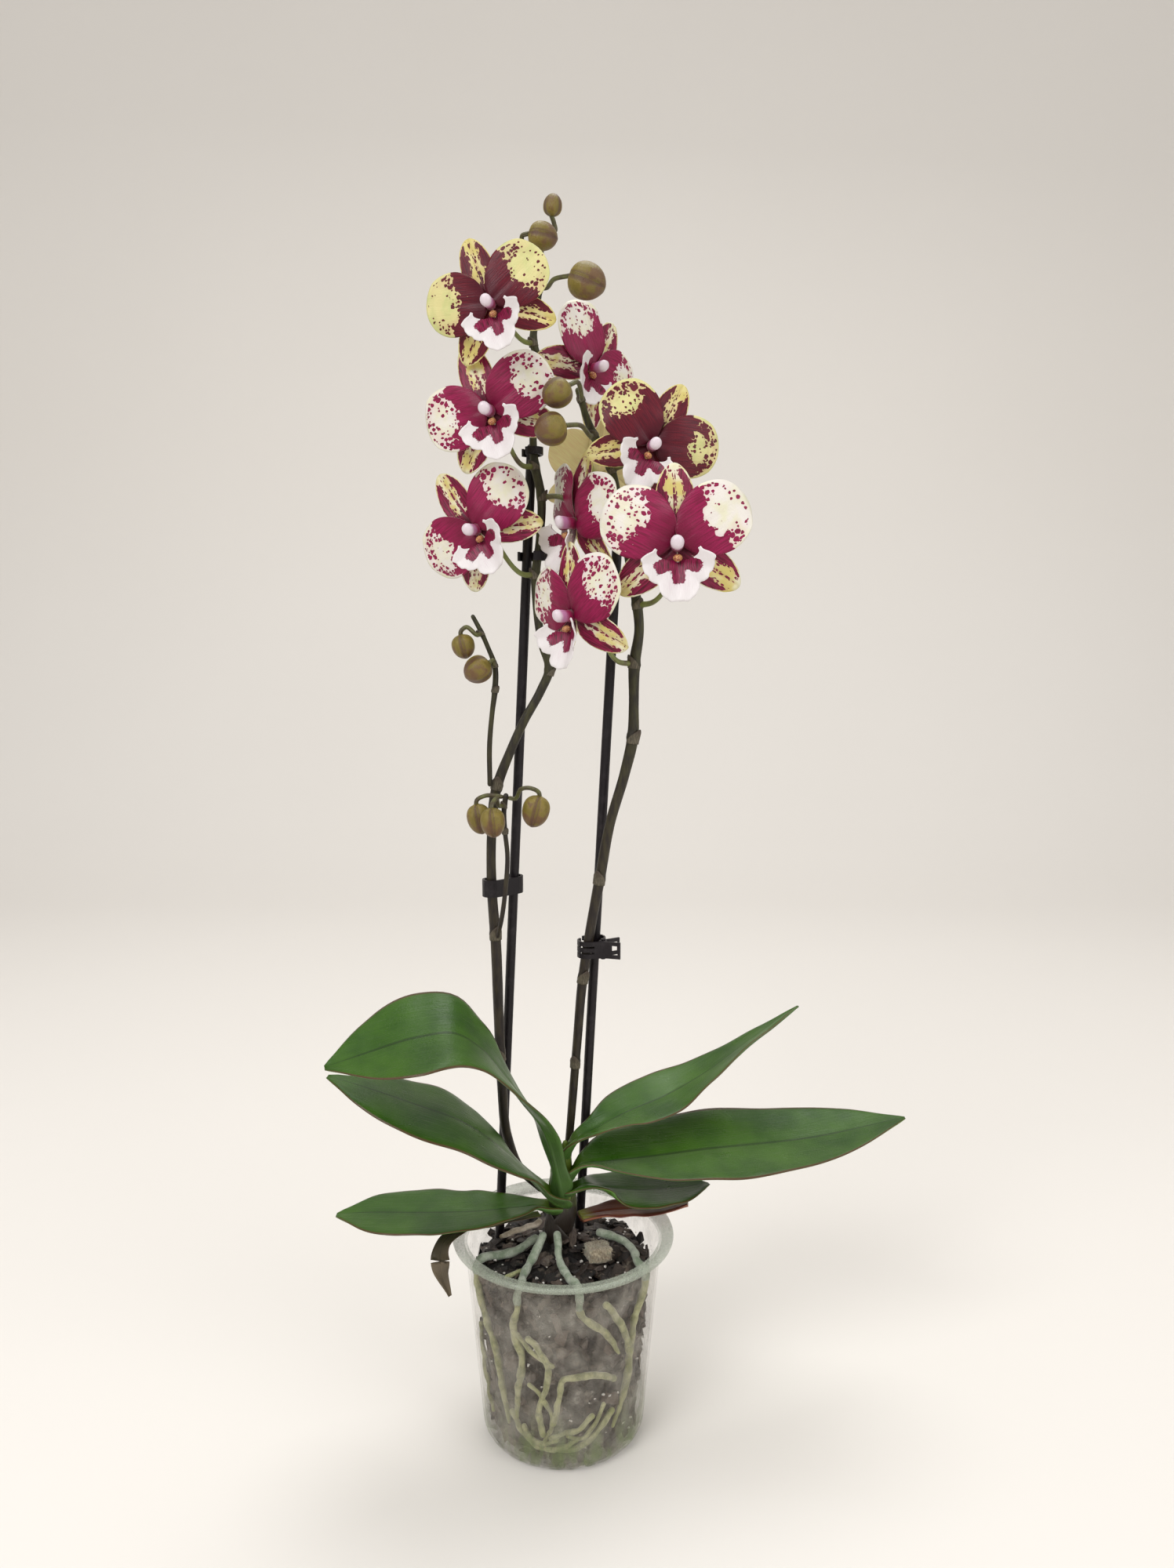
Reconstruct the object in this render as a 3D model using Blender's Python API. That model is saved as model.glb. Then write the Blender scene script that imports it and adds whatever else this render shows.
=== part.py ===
"""A moth orchid with two flower spikes, growing in a clear nursery pot.

Metres, +Z up. The origin is the centre of the pot's flat base. The flowers face -Y.
Grown pieces are smooth swept tubes and thin closed blades. Made pieces are turned or extruded.
"""
import math

import bmesh
import bpy
import numpy as np
from mathutils import Matrix, Vector

# ---- Driving dimensions -------------------------------------------------------------------

GAP = 0.0004                 # clearance between neighbouring solids
STALK_GAP = 0.0008           # between a stem and the end of a stalk that leaves it
STALK_RUN = 0.0040           # a stalk runs straight out of its stem this far

POT_HEIGHT = 0.114
POT_RIM_R = 0.060
POT_NECK_R = 0.0535          # outside of the wall just under the rim
POT_FOOT_R = 0.0445          # outside of the wall just above the rounded foot
POT_FLAT_R = 0.0370          # flat part of the base
POT_WALL = 0.0012
RIM_DROP = 0.0030            # height of the rolled rim
FOOT_ROUND = 0.009
DRAIN_HOLES = 8
DRAIN_HOLE_R = 0.0028
DRAIN_CIRCLE_R = 0.0400

BARK_TOP = 0.1005
BARK_BUMP = 0.0012
MOUND_HEIGHT = 0.0095        # bark heaped round the foot of the crown
MOUND_R = 0.0160
ROOT_GAP = 0.0062            # space between bark and wall, where roots run
ROOT_R = 0.0017

STAKE_R = 0.0025
LEFT_STAKE_TOP = (-0.0147, 0.0050, 0.5282)
LEFT_STAKE_FOOT = (-0.0378, 0.0130, 0.0600)
RIGHT_STAKE_TOP = (0.0294, 0.0040, 0.5017)
RIGHT_STAKE_FOOT = (0.0064, 0.0185, 0.0600)

CROWN_FOOT = (-0.0030, 0.0030, 0.088)
CROWN_TOP = (0.0012, 0.0025, 0.1620)
CROWN_R = 0.0072

LEAF_THICKNESS = 0.0018
TEPAL_THICKNESS = 0.0010
PEDICEL_R = 0.0014

# A full-size flower: two round petals, three oval sepals, measured from the column.
PETAL_R = 0.0160
PETAL_OFFSET = 0.0200
PETAL_RISE = 29.0            # degrees above the flower's horizontal
SEPAL_LENGTH = 0.0345
SEPAL_HALF_WIDTH = 0.0088
LATERAL_SEPAL_DROP = 38.0    # degrees below the flower's horizontal
FLOWER_CORE_R = 0.0034
PETAL_DEPTH = -0.0042        # the tips of petals and sepals lie behind the column's foot
SEPAL_DEPTH = -0.0070
COLUMN_R = 0.0024
COLUMN_LENGTH = 0.0080

# ---- Scene and materials ------------------------------------------------------------------

for old in list(bpy.data.objects):
    bpy.data.objects.remove(old, do_unlink=True)

plant_root = bpy.data.objects.new("potted_orchid", None)
bpy.context.scene.collection.objects.link(plant_root)


def make_material(name, colour, roughness, metallic=0.0):
    """A Principled material with one colour."""
    material = bpy.data.materials.new(name)
    material.use_nodes = True
    shader = material.node_tree.nodes["Principled BSDF"]
    shader.inputs["Base Color"].default_value = (*colour, 1.0)
    shader.inputs["Roughness"].default_value = roughness
    shader.inputs["Metallic"].default_value = metallic
    return material


CLEAR_PLASTIC = make_material("clear_plastic", (0.42, 0.45, 0.40), 0.25)
BARK = make_material("bark", (0.06, 0.045, 0.035), 0.85)
COCO = make_material("coco_fibre", (0.45, 0.36, 0.24), 0.95)
ROOT = make_material("root", (0.42, 0.47, 0.33), 0.60)
DRY_ROOT = make_material("dry_root", (0.62, 0.52, 0.40), 0.85)
STEM = make_material("stem", (0.10, 0.10, 0.05), 0.45)
CROWN = make_material("crown", (0.20, 0.32, 0.06), 0.45)
LEAF = make_material("leaf", (0.05, 0.20, 0.03), 0.35)
OLD_LEAF = make_material("old_leaf", (0.22, 0.05, 0.02), 0.45)
PETAL_YELLOW = make_material("petal_yellow", (0.72, 0.68, 0.35), 0.50)
PETAL_WHITE = make_material("petal_white", (0.80, 0.74, 0.72), 0.50)
LIP = make_material("lip", (0.88, 0.86, 0.88), 0.40)
BUD = make_material("bud", (0.25, 0.22, 0.05), 0.45)
BLACK_PLASTIC = make_material("black_plastic", (0.015, 0.012, 0.016), 0.35)


# ---- Mesh helpers -------------------------------------------------------------------------

def add_object(name, verts, faces, material):
    """Make one closed, outward-facing, smooth-shaded object from points and faces."""
    mesh = bpy.data.meshes.new(name)
    mesh.from_pydata([tuple(v) for v in verts], [], faces)
    bm = bmesh.new()
    bm.from_mesh(mesh)
    bmesh.ops.recalc_face_normals(bm, faces=bm.faces)
    bmesh.ops.triangulate(bm, faces=bm.faces)
    bm.to_mesh(mesh)
    bm.free()
    mesh.shade_smooth()
    mesh.set_sharp_from_angle(angle=math.radians(45))
    mesh.materials.append(material)
    obj = bpy.data.objects.new(name, mesh)
    bpy.context.scene.collection.objects.link(obj)
    obj.parent = plant_root
    return obj


def add_boolean(obj, cutter, operation):
    """Cut or join another object into this one; the other object is only a tool."""
    cutter.hide_render = True
    cutter.display_type = "WIRE"
    modifier = obj.modifiers.new(cutter.name, "BOOLEAN")
    modifier.operation = operation
    modifier.solver = "EXACT"
    modifier.object = cutter


def smooth_rows(rows, count):
    """Rows read evenly from one smooth curve through the given rows; the first three are x, y, z."""
    rows = np.array(rows, float)
    steps = np.linalg.norm(np.diff(rows[:, :3], axis=0), axis=1)
    knots = np.concatenate([[0.0], np.cumsum(steps)])
    if len(rows) > 2:
        slopes = np.gradient(rows, knots, axis=0)
    else:
        slopes = np.array([(rows[1] - rows[0]) / knots[1]] * 2)
    result = []
    for t in np.linspace(0.0, knots[-1], count):
        i = min(int(np.searchsorted(knots, t, side="right")) - 1, len(rows) - 2)
        h = knots[i + 1] - knots[i]
        u = (t - knots[i]) / h
        result.append((2 * u ** 3 - 3 * u ** 2 + 1) * rows[i]
                      + (u ** 3 - 2 * u ** 2 + u) * h * slopes[i]
                      + (3 * u ** 2 - 2 * u ** 3) * rows[i + 1]
                      + (u ** 3 - u ** 2) * h * slopes[i + 1])
    return np.array(result)


def unit(vector):
    return np.array(vector, float) / np.linalg.norm(vector)


def tube_rings(centres, radii, sides, first_side):
    """Rings of points round a path, carried along it without twisting."""
    centres = np.array(centres, float)
    side = np.array(first_side, float)
    rings = []
    for i, centre in enumerate(centres):
        ahead = centres[min(i + 1, len(centres) - 1)]
        behind = centres[max(i - 1, 0)]
        tangent = unit(ahead - behind)
        side = unit(side - tangent * side.dot(tangent))
        other = np.cross(tangent, side)
        rings.append([centre + radii[i] * (math.cos(a) * side + math.sin(a) * other)
                      for a in np.linspace(0.0, 2 * math.pi, sides, endpoint=False)])
    return rings


def loft(rings):
    """Points and faces of a closed body through rings of equal count."""
    sides = len(rings[0])
    verts = [p for ring in rings for p in ring]
    faces = []
    for k in range(len(rings) - 1):
        for j in range(sides):
            n = (j + 1) % sides
            faces.append((k * sides + j, k * sides + n, (k + 1) * sides + n, (k + 1) * sides + j))
    faces.append(tuple(range(sides - 1, -1, -1)))
    last = (len(rings) - 1) * sides
    faces.append(tuple(range(last, last + sides)))
    return verts, faces


def any_side(direction):
    """A direction across the given one."""
    guide = (0.0, 0.0, 1.0) if abs(unit(direction)[2]) < 0.8 else (1.0, 0.0, 0.0)
    return unit(np.cross(direction, guide))


def add_tube(name, rows, count, sides, material):
    """A round solid along a smooth path; each row is x, y, z, radius."""
    path = smooth_rows(rows, count)
    rings = tube_rings(path[:, :3], path[:, 3], sides, any_side(path[1, :3] - path[0, :3]))
    return add_object(name, *loft(rings), material)


def add_turned(name, profile, sides, material, ring=False):
    """A solid turned about Z from (radius, height) points; a ring has no axis points."""
    if ring:
        verts, faces = [], []
        count = len(profile)
        for j in range(sides):
            a = 2 * math.pi * j / sides
            verts += [(r * math.cos(a), r * math.sin(a), z) for r, z in profile]
        for j in range(sides):
            n = (j + 1) % sides
            for k in range(count):
                m = (k + 1) % count
                faces.append((j * count + k, n * count + k, n * count + m, j * count + m))
        return add_object(name, verts, faces, material)
    rings = [[(r * math.cos(a), r * math.sin(a), z)
              for a in np.linspace(0.0, 2 * math.pi, sides, endpoint=False)] for r, z in profile]
    return add_object(name, *loft(rings), material)


def sheet_body(middle, normals, thickness):
    """Close a grid of points into a thin solid; thickness has one value for each point."""
    middle = np.array(middle, float)
    rows, cols = middle.shape[:2]
    offset = np.array(normals) * np.array(thickness)[:, :, None] * 0.5
    verts = list((middle + offset).reshape(-1, 3)) + list((middle - offset).reshape(-1, 3))
    base = rows * cols
    faces = []
    for i in range(rows - 1):
        for j in range(cols - 1):
            a, b = i * cols + j, (i + 1) * cols + j
            faces.append((a, a + 1, b + 1, b))
            faces.append((base + a, base + b, base + b + 1, base + a + 1))
    border = [j for j in range(cols)] + [i * cols + cols - 1 for i in range(1, rows)]
    border += [(rows - 1) * cols + j for j in range(cols - 2, -1, -1)]
    border += [i * cols for i in range(rows - 2, 0, -1)]
    for a, b in zip(border, border[1:] + border[:1]):
        faces.append((a, base + a, base + b, b))
    return verts, faces


def grid_normals(points):
    """Unit normals of a grid of points, from its two directions."""
    points = np.array(points, float)
    normals = np.cross(np.gradient(points, axis=0), np.gradient(points, axis=1))
    return normals / np.maximum(np.linalg.norm(normals, axis=2), 1e-12)[:, :, None]


# ---- Pot, bark and plug -------------------------------------------------------------------

def wall_radius(z):
    """Outer radius of the pot's tapered wall at a height."""
    share = (z - FOOT_ROUND) / (POT_HEIGHT - RIM_DROP - FOOT_ROUND)
    return POT_FOOT_R + (POT_NECK_R - POT_FOOT_R) * share


def foot_profile(inset, lift):
    """The rounded foot as (radius, height) points, moved in by inset and up by lift."""
    points = []
    for angle in np.radians([-90, -60, -30, 0]):
        r = POT_FLAT_R + (POT_FOOT_R - POT_FLAT_R) * math.cos(angle)
        z = FOOT_ROUND + FOOT_ROUND * math.sin(angle)
        points.append((r - inset * math.cos(angle), z + lift * -math.sin(angle)))
    return points


def build_pot():
    """Thin tapered wall, rolled rim, rounded foot and a flat base with drain holes round it."""
    neck = POT_HEIGHT - RIM_DROP
    outside = foot_profile(0.0, 0.0) + [(wall_radius(0.055), 0.055), (POT_NECK_R, neck)]
    rim = [(POT_RIM_R - 0.0006, neck), (POT_RIM_R, POT_HEIGHT - 0.0010),
           (POT_RIM_R - 0.0012, POT_HEIGHT), (POT_NECK_R + 0.0002, POT_HEIGHT),
           (POT_NECK_R - POT_WALL, POT_HEIGHT - 0.0016)]
    inside = [(wall_radius(0.055) - POT_WALL, 0.055)]
    inside += foot_profile(POT_WALL, POT_WALL)[::-1]
    profile = [(0.004, 0.0)] + outside + rim + inside + [(0.004, POT_WALL)]
    pot = add_turned("nursery_pot", profile, 32, CLEAR_PLASTIC)
    verts, faces = [], []
    for k in range(DRAIN_HOLES):
        a = 2 * math.pi * (k + 0.35) / DRAIN_HOLES
        x, y = DRAIN_CIRCLE_R * math.cos(a), DRAIN_CIRCLE_R * math.sin(a)
        rings = [[(x + DRAIN_HOLE_R * math.cos(b), y + DRAIN_HOLE_R * math.sin(b), z)
                  for b in np.linspace(0.0, 2 * math.pi, 6, endpoint=False)]
                 for z in (-0.002, 0.0062)]
        hole_verts, hole_faces = loft(rings)
        faces += [tuple(i + len(verts) for i in face) for face in hole_faces]
        verts += hole_verts
    add_boolean(pot, add_object("drain_hole_cutters", verts, faces, CLEAR_PLASTIC), "DIFFERENCE")


def mound(x, y):
    """How far the bark is heaped up at a place near the crown."""
    away = math.hypot(x - CROWN_FOOT[0], y - CROWN_FOOT[1])
    return MOUND_HEIGHT * math.exp(-(away / MOUND_R) ** 2)


def bark_top(x, y):
    """Height of the uneven bark surface."""
    return BARK_TOP + mound(x, y) + BARK_BUMP * math.sin(160 * x + 0.6) * math.cos(140 * y - 0.4)


def build_bark():
    """One packed fill, clear of the wall by the space where roots run."""
    sides = 24
    inset = POT_WALL + ROOT_GAP
    floor = POT_WALL + GAP
    profile = [(POT_FLAT_R - 0.006, floor), (wall_radius(FOOT_ROUND) - inset, 0.010),
               (wall_radius(0.055) - inset, 0.055), (wall_radius(BARK_TOP) - inset, BARK_TOP - 0.003)]
    rings = [[(r * math.cos(a), r * math.sin(a), z)
              for a in np.linspace(0.0, 2 * math.pi, sides, endpoint=False)] for r, z in profile]
    edge = wall_radius(BARK_TOP) - inset - 0.0015
    for share in (1.0, 0.62, 0.41, 0.20):
        rings.append([(edge * share * math.cos(a), edge * share * math.sin(a),
                       bark_top(edge * share * math.cos(a), edge * share * math.sin(a)))
                      for a in np.linspace(0.0, 2 * math.pi, sides, endpoint=False)])
    bark = add_object("bark_fill", *loft(rings), BARK)
    wells = [("crown_well", CROWN_FOOT, CROWN_TOP, CROWN_R + 0.0008),
             ("left_stake_well", LEFT_STAKE_FOOT, LEFT_STAKE_TOP, STAKE_R + GAP),
             ("right_stake_well", RIGHT_STAKE_FOOT, RIGHT_STAKE_TOP, STAKE_R + GAP)]
    for name, low, high, radius in wells:
        low, high = np.array(low), np.array(high)
        direction = unit(high - low)
        foot = low - direction * 0.0006
        top = low + direction * (0.112 - low[2])
        path = [foot, top]
        rings = tube_rings(path, [radius] * 2, 12, any_side(direction))
        add_boolean(bark, add_object(name, *loft(rings), BARK), "DIFFERENCE")


PLUG_CENTRE = (0.0190, -0.0150, 0.1088)
PLUG_SIZE = (0.0130, 0.0115, 0.0080)


def build_plug():
    """The fibre plug that the seedling grew in, showing above the bark."""
    bm = bmesh.new()
    bmesh.ops.create_cube(bm, size=1.0)
    bmesh.ops.scale(bm, vec=PLUG_SIZE, verts=bm.verts)
    bmesh.ops.bevel(bm, geom=list(bm.edges), offset=0.0016, segments=2, affect="EDGES")
    bmesh.ops.rotate(bm, matrix=Matrix.Rotation(math.radians(18), 3, "Z"), verts=bm.verts)
    bmesh.ops.translate(bm, vec=PLUG_CENTRE, verts=bm.verts)
    verts = [v.co[:] for v in bm.verts]
    faces = [tuple(v.index for v in f.verts) for f in bm.faces]
    bm.free()
    add_object("fibre_plug", verts, faces, COCO)


# ---- Roots --------------------------------------------------------------------------------

SURFACE_Z = BARK_TOP + BARK_BUMP + ROOT_R + 0.0006


def wall_point(azimuth, z):
    """A point in the root space at an angle (degrees from +X) and a height."""
    r = wall_radius(z) - POT_WALL - ROOT_GAP / 2
    a = math.radians(azimuth)
    return (r * math.cos(a), r * math.sin(a), z)


# Each root: (x, y, rise above the bark) points, then (azimuth, height) points down inside the wall.
ROOTS = {
    "root_front": ([(-0.0030, -0.0095, 0.0065), (-0.0015, -0.0195, 0.0015), (0.0035, -0.0320, 0.0)],
                   [(-79, 0.0950), (-73, 0.088), (-60, 0.078), (-50, 0.064)], ROOT),
    "root_front_left": ([(-0.0105, -0.0085, 0.0060), (-0.0160, -0.0170, 0.0015), (-0.0205, -0.0300, 0.0)],
                        [(-118, 0.0950), (-122, 0.081), (-117, 0.064), (-121, 0.045), (-124, 0.028)], ROOT),
    "root_left": ([(-0.0150, -0.0030, 0.0010), (-0.0270, -0.0080, 0.0), (-0.0350, -0.0095, 0.0)],
                  [(-163, 0.0950), (-152, 0.080), (-140, 0.060), (-136, 0.040), (-132, 0.022)], ROOT),
    "root_right": ([(0.0200, 0.0060, 0.0030), (0.0325, 0.0035, 0.0010), (0.0385, -0.0070, 0.0)],
                   [(-24, 0.0950), (-36, 0.080), (-38, 0.060), (-40, 0.040), (-50, 0.020)], ROOT),
    "dry_root": ([(-0.0125, 0.0020, 0.0065), (-0.0190, 0.0005, 0.0075), (-0.0262, -0.0005, 0.0065),
                  (-0.0335, 0.0015, 0.0040)], [], DRY_ROOT),
}

# Roots that only show through the wall: (azimuth, height) points.
WALL_ROOTS = {
    "wall_root_middle": [(-111, 0.078), (-104, 0.071), (-99, 0.064), (-101, 0.050), (-106, 0.034),
                         (-104, 0.022)],
    "wall_root_cross": [(-53, 0.050), (-62, 0.0545), (-76, 0.0565), (-88, 0.0555), (-92, 0.043),
                        (-96, 0.029)],
}


def over_edge(azimuth):
    """Two points that carry a root over the bark's edge and into the root space."""
    inner = wall_radius(BARK_TOP) - POT_WALL - ROOT_GAP
    a = math.radians(azimuth)
    return [((inner - 0.0010) * math.cos(a), (inner - 0.0010) * math.sin(a), SURFACE_Z + 0.0004),
            ((inner + 0.0029) * math.cos(a), (inner + 0.0029) * math.sin(a), BARK_TOP + 0.0006)]


def build_roots():
    for name, (on_bark, on_wall, material) in ROOTS.items():
        rows = [(x, y, SURFACE_Z + mound(x, y) + rise, ROOT_R) for x, y, rise in on_bark]
        if on_wall:
            rows += [(*point, ROOT_R) for point in over_edge(on_wall[0][0])]
        rows += [(*wall_point(a, z), ROOT_R) for a, z in on_wall]
        rows[-1] = (*rows[-1][:3], ROOT_R * 0.6)
        add_tube(name, rows, 5 + 2 * len(rows), 6, material)
    for name, on_wall in WALL_ROOTS.items():
        rows = [(*wall_point(a, z), ROOT_R * 0.85) for a, z in on_wall]
        add_tube(name, rows, 2 * len(rows), 6, ROOT)


# ---- Crown and leaves ---------------------------------------------------------------------

def build_crown():
    foot, top = np.array(CROWN_FOOT), np.array(CROWN_TOP)
    shares = [(0.0, 0.75), (0.25, 1.0), (0.5, 1.0), (0.75, 0.85), (0.93, 0.55), (1.0, 0.25)]
    rows = [(*(foot + (top - foot) * t), CROWN_R * width) for t, width in shares]
    add_tube("crown", rows, 9, 10, CROWN)


# Each leaf: rows of x, y, z, half width and roll in degrees (positive lifts the far edge), then
# how far its edges rise above the midrib as a share of the half width, and its thickness.
LEAVES = {
    "leaf_upper_left": ([(-0.0035, -0.0105, 0.1560, 0.0055, 0), (-0.0093, -0.0180, 0.1792, 0.0095, 4),
                         (-0.0206, -0.0260, 0.1989, 0.0130, 8), (-0.0302, -0.0300, 0.2140, 0.0165, 12),
                         (-0.0409, -0.0330, 0.2284, 0.0220, 16), (-0.0534, -0.0360, 0.2372, 0.0275, 20),
                         (-0.0697, -0.0380, 0.2362, 0.0305, 22), (-0.0957, -0.0420, 0.2294, 0.0200, 22),
                         (-0.1164, -0.0460, 0.2232, 0.0015, 20)], 0.10, LEAF),
    "leaf_mid_left": ([(-0.0125, -0.0090, 0.1430, 0.0100, 6), (-0.0269, -0.0185, 0.1640, 0.0215, 8),
                       (-0.0520, -0.0260, 0.1865, 0.0260, 8), (-0.0748, -0.0280, 0.1963, 0.0240, 8),
                       (-0.0997, -0.0270, 0.2048, 0.0145, 8), (-0.1205, -0.0230, 0.2097, 0.0015, 8)],
                      -0.05, LEAF),
    "leaf_lower_left": ([(-0.0140, -0.0020, 0.1275, 0.0060, 0), (-0.0243, -0.0060, 0.1290, 0.0125, 0),
                         (-0.0439, -0.0120, 0.1300, 0.0185, 2), (-0.0768, -0.0140, 0.1300, 0.0215, 4),
                         (-0.1013, -0.0120, 0.1290, 0.0170, 4), (-0.1210, -0.0100, 0.1270, 0.0015, 4)],
                        0.06, LEAF),
    "leaf_right": ([(0.0105, -0.0040, 0.1530, 0.0065, 4), (0.0200, 0.0000, 0.1520, 0.0150, 8),
                    (0.0461, 0.0100, 0.1501, 0.0265, 9), (0.0805, 0.0180, 0.1509, 0.0330, 9),
                    (0.1038, 0.0220, 0.1514, 0.0325, 9), (0.1392, 0.0270, 0.1532, 0.0265, 9),
                    (0.1740, 0.0300, 0.1593, 0.0130, 9), (0.1924, 0.0300, 0.1640, 0.0012, 9)],
                   0.10, LEAF),
    "leaf_upper_right": ([(0.0070, -0.0010, 0.1650, 0.0045, 6), (0.0178, 0.0030, 0.1700, 0.0075, 10),
                          (0.0352, 0.0185, 0.1724, 0.0155, 16), (0.0581, 0.0340, 0.1756, 0.0190, 10),
                          (0.0814, 0.0440, 0.1850, 0.0170, -6), (0.1092, 0.0530, 0.2020, 0.0110, -14),
                          (0.1362, 0.0600, 0.2190, 0.0012, -14)], 0.16, LEAF),
    "leaf_lower_right": ([(0.0105, -0.0010, 0.1390, 0.0055, 0), (0.0225, 0.0070, 0.1335, 0.0140, 2),
                          (0.0442, 0.0110, 0.1300, 0.0220, 2), (0.0664, 0.0170, 0.1285, 0.0150, 2),
                          (0.0815, 0.0220, 0.1285, 0.0012, 2)], 0.08, LEAF),
    "old_leaf_right": ([(0.0095, 0.0020, 0.1195, 0.0045, 0), (0.0245, 0.0090, 0.1190, 0.0080, 0),
                        (0.0396, 0.0120, 0.1185, 0.0100, 0), (0.0548, 0.0130, 0.1190, 0.0095, -4),
                        (0.0690, 0.0120, 0.1215, 0.0045, -10)], 0.16, OLD_LEAF),
    "dry_leaf_left": ([(-0.0130, 0.0010, 0.1220, 0.0030, 0), (-0.0350, -0.0085, 0.1225, 0.0040, 0),
                       (-0.0540, -0.0180, 0.1235, 0.0050, 0), (-0.0620, -0.0240, 0.1190, 0.0052, 0),
                       (-0.0635, -0.0275, 0.1060, 0.0045, 0), (-0.0585, -0.0315, 0.0935, 0.0010, 0)],
                      0.04, OLD_LEAF),
}


def blade_grid(rows, fold, along, across):
    """Points of a leaf's middle surface: stations along the midrib by places across the blade."""
    path = smooth_rows(rows, along)
    tangents = np.gradient(path[:, :3], axis=0)
    points = []
    for row, tangent in zip(path, tangents):
        tangent = unit(tangent)
        across_dir = unit(np.cross(tangent, (0.0, 0.0, 1.0)))
        if across_dir[1] < 0:
            across_dir = -across_dir
        up = np.cross(tangent, across_dir)
        if up[2] < 0:
            up = -up
        roll = math.radians(row[4])
        side = across_dir * math.cos(roll) + up * math.sin(roll)
        normal = up * math.cos(roll) - across_dir * math.sin(roll)
        half = max(row[3], 0.001)
        points.append([row[:3] + side * half * v + normal * half * fold * abs(v) ** 1.5
                       for v in np.linspace(-1.0, 1.0, across)])
    return np.array(points)


def build_leaves():
    for name, (rows, fold, material) in LEAVES.items():
        along = 12 if len(rows) > 6 else 8
        points = blade_grid(rows, fold, along, 5)
        thick = LEAF_THICKNESS * (0.45 if name == "dry_leaf_left" else 1.0)
        thickness = np.tile([0.45, 0.85, 1.0, 0.85, 0.45], (along, 1)) * thick
        add_object(name, *sheet_body(points, grid_normals(points), thickness), material)


# ---- Spikes, branches and stakes ----------------------------------------------------------

# Each row is x, y, z, radius.
LEFT_SPIKE = [(-0.0125, 0.0085, 0.1330, 0.0021), (-0.0230, 0.0075, 0.1440, 0.0024),
              (-0.0302, 0.0055, 0.1640, 0.0026), (-0.0327, 0.0032, 0.1945, 0.0027),
              (-0.0339, 0.0012, 0.2321, 0.0027), (-0.0350, 0.0000, 0.2753, 0.0028),
              (-0.0368, 0.0000, 0.3056, 0.0026), (-0.0364, 0.0000, 0.3339, 0.0025),
              (-0.0342, 0.0000, 0.3544, 0.0027), (-0.0267, 0.0000, 0.3748, 0.0024),
              (-0.0193, 0.0000, 0.3910, 0.0023), (-0.0104, 0.0000, 0.4070, 0.0023),
              (-0.0062, 0.0000, 0.4175, 0.0024), (-0.0098, 0.0000, 0.4309, 0.0022),
              (-0.0125, 0.0000, 0.4505, 0.0021), (-0.0129, 0.0000, 0.4642, 0.0023),
              (-0.0108, 0.0000, 0.4816, 0.0020), (-0.0099, 0.0000, 0.5039, 0.0022),
              (-0.0130, 0.0000, 0.5191, 0.0022), (-0.0137, 0.0000, 0.5293, 0.0019),
              (-0.0120, 0.0000, 0.5500, 0.0018), (-0.0103, 0.0000, 0.5656, 0.0020),
              (-0.0133, 0.0000, 0.5778, 0.0019), (-0.0117, 0.0000, 0.5906, 0.0016),
              (-0.0105, 0.0000, 0.6009, 0.0016), (-0.0093, 0.0000, 0.6197, 0.0013),
              (-0.0068, 0.0000, 0.6300, 0.0012)]
RIGHT_SPIKE = [(0.0015, 0.0115, 0.1400, 0.0021), (0.0036, 0.0105, 0.1647, 0.0022),
               (0.0077, 0.0070, 0.2172, 0.0024), (0.0107, 0.0045, 0.2530, 0.0026),
               (0.0153, 0.0030, 0.2837, 0.0026), (0.0198, 0.0015, 0.3089, 0.0028),
               (0.0250, 0.0000, 0.3380, 0.0026), (0.0326, 0.0000, 0.3647, 0.0027),
               (0.0365, 0.0000, 0.3829, 0.0030), (0.0369, 0.0000, 0.3990, 0.0026),
               (0.0371, 0.0000, 0.4198, 0.0029), (0.0394, 0.0000, 0.4387, 0.0025),
               (0.0381, 0.0000, 0.4513, 0.0026), (0.0344, -0.0030, 0.4699, 0.0022),
               (0.0323, -0.0050, 0.4813, 0.0021), (0.0298, -0.0070, 0.4963, 0.0021),
               (0.0274, -0.0090, 0.5055, 0.0021), (0.0250, -0.0110, 0.5146, 0.0021),
               (0.0204, -0.0140, 0.5236, 0.0020), (0.0162, -0.0160, 0.5307, 0.0021),
               (0.0124, -0.0180, 0.5395, 0.0017), (0.0102, -0.0190, 0.5466, 0.0016),
               (0.0087, -0.0200, 0.5507, 0.0014)]
UPPER_BRANCH = [(-0.0368, -0.0035, 0.3590, 0.0013), (-0.0367, -0.0040, 0.3792, 0.0013),
                (-0.0349, -0.0050, 0.3974, 0.0013), (-0.0335, -0.0060, 0.4074, 0.0015),
                (-0.0334, -0.0060, 0.4192, 0.0014), (-0.0369, -0.0060, 0.4290, 0.0012),
                (-0.0403, -0.0060, 0.4368, 0.0012), (-0.0441, -0.0060, 0.4440, 0.0011)]
LOWER_BRANCH = [(-0.0335, -0.0045, 0.2790, 0.0011), (-0.0310, -0.0090, 0.2900, 0.0012),
                (-0.0287, -0.0105, 0.3071, 0.0012), (-0.0277, -0.0105, 0.3235, 0.0012),
                (-0.0288, -0.0105, 0.3357, 0.0012), (-0.0291, -0.0105, 0.3479, 0.0013),
                (-0.0282, -0.0105, 0.3539, 0.0014)]


STAKES = {"left": (LEFT_STAKE_FOOT, LEFT_STAKE_TOP), "right": (RIGHT_STAKE_FOOT, RIGHT_STAKE_TOP)}
STEMS = {"left": LEFT_SPIKE, "right": RIGHT_SPIKE, "upper": UPPER_BRANCH, "lower": LOWER_BRANCH}


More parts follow.
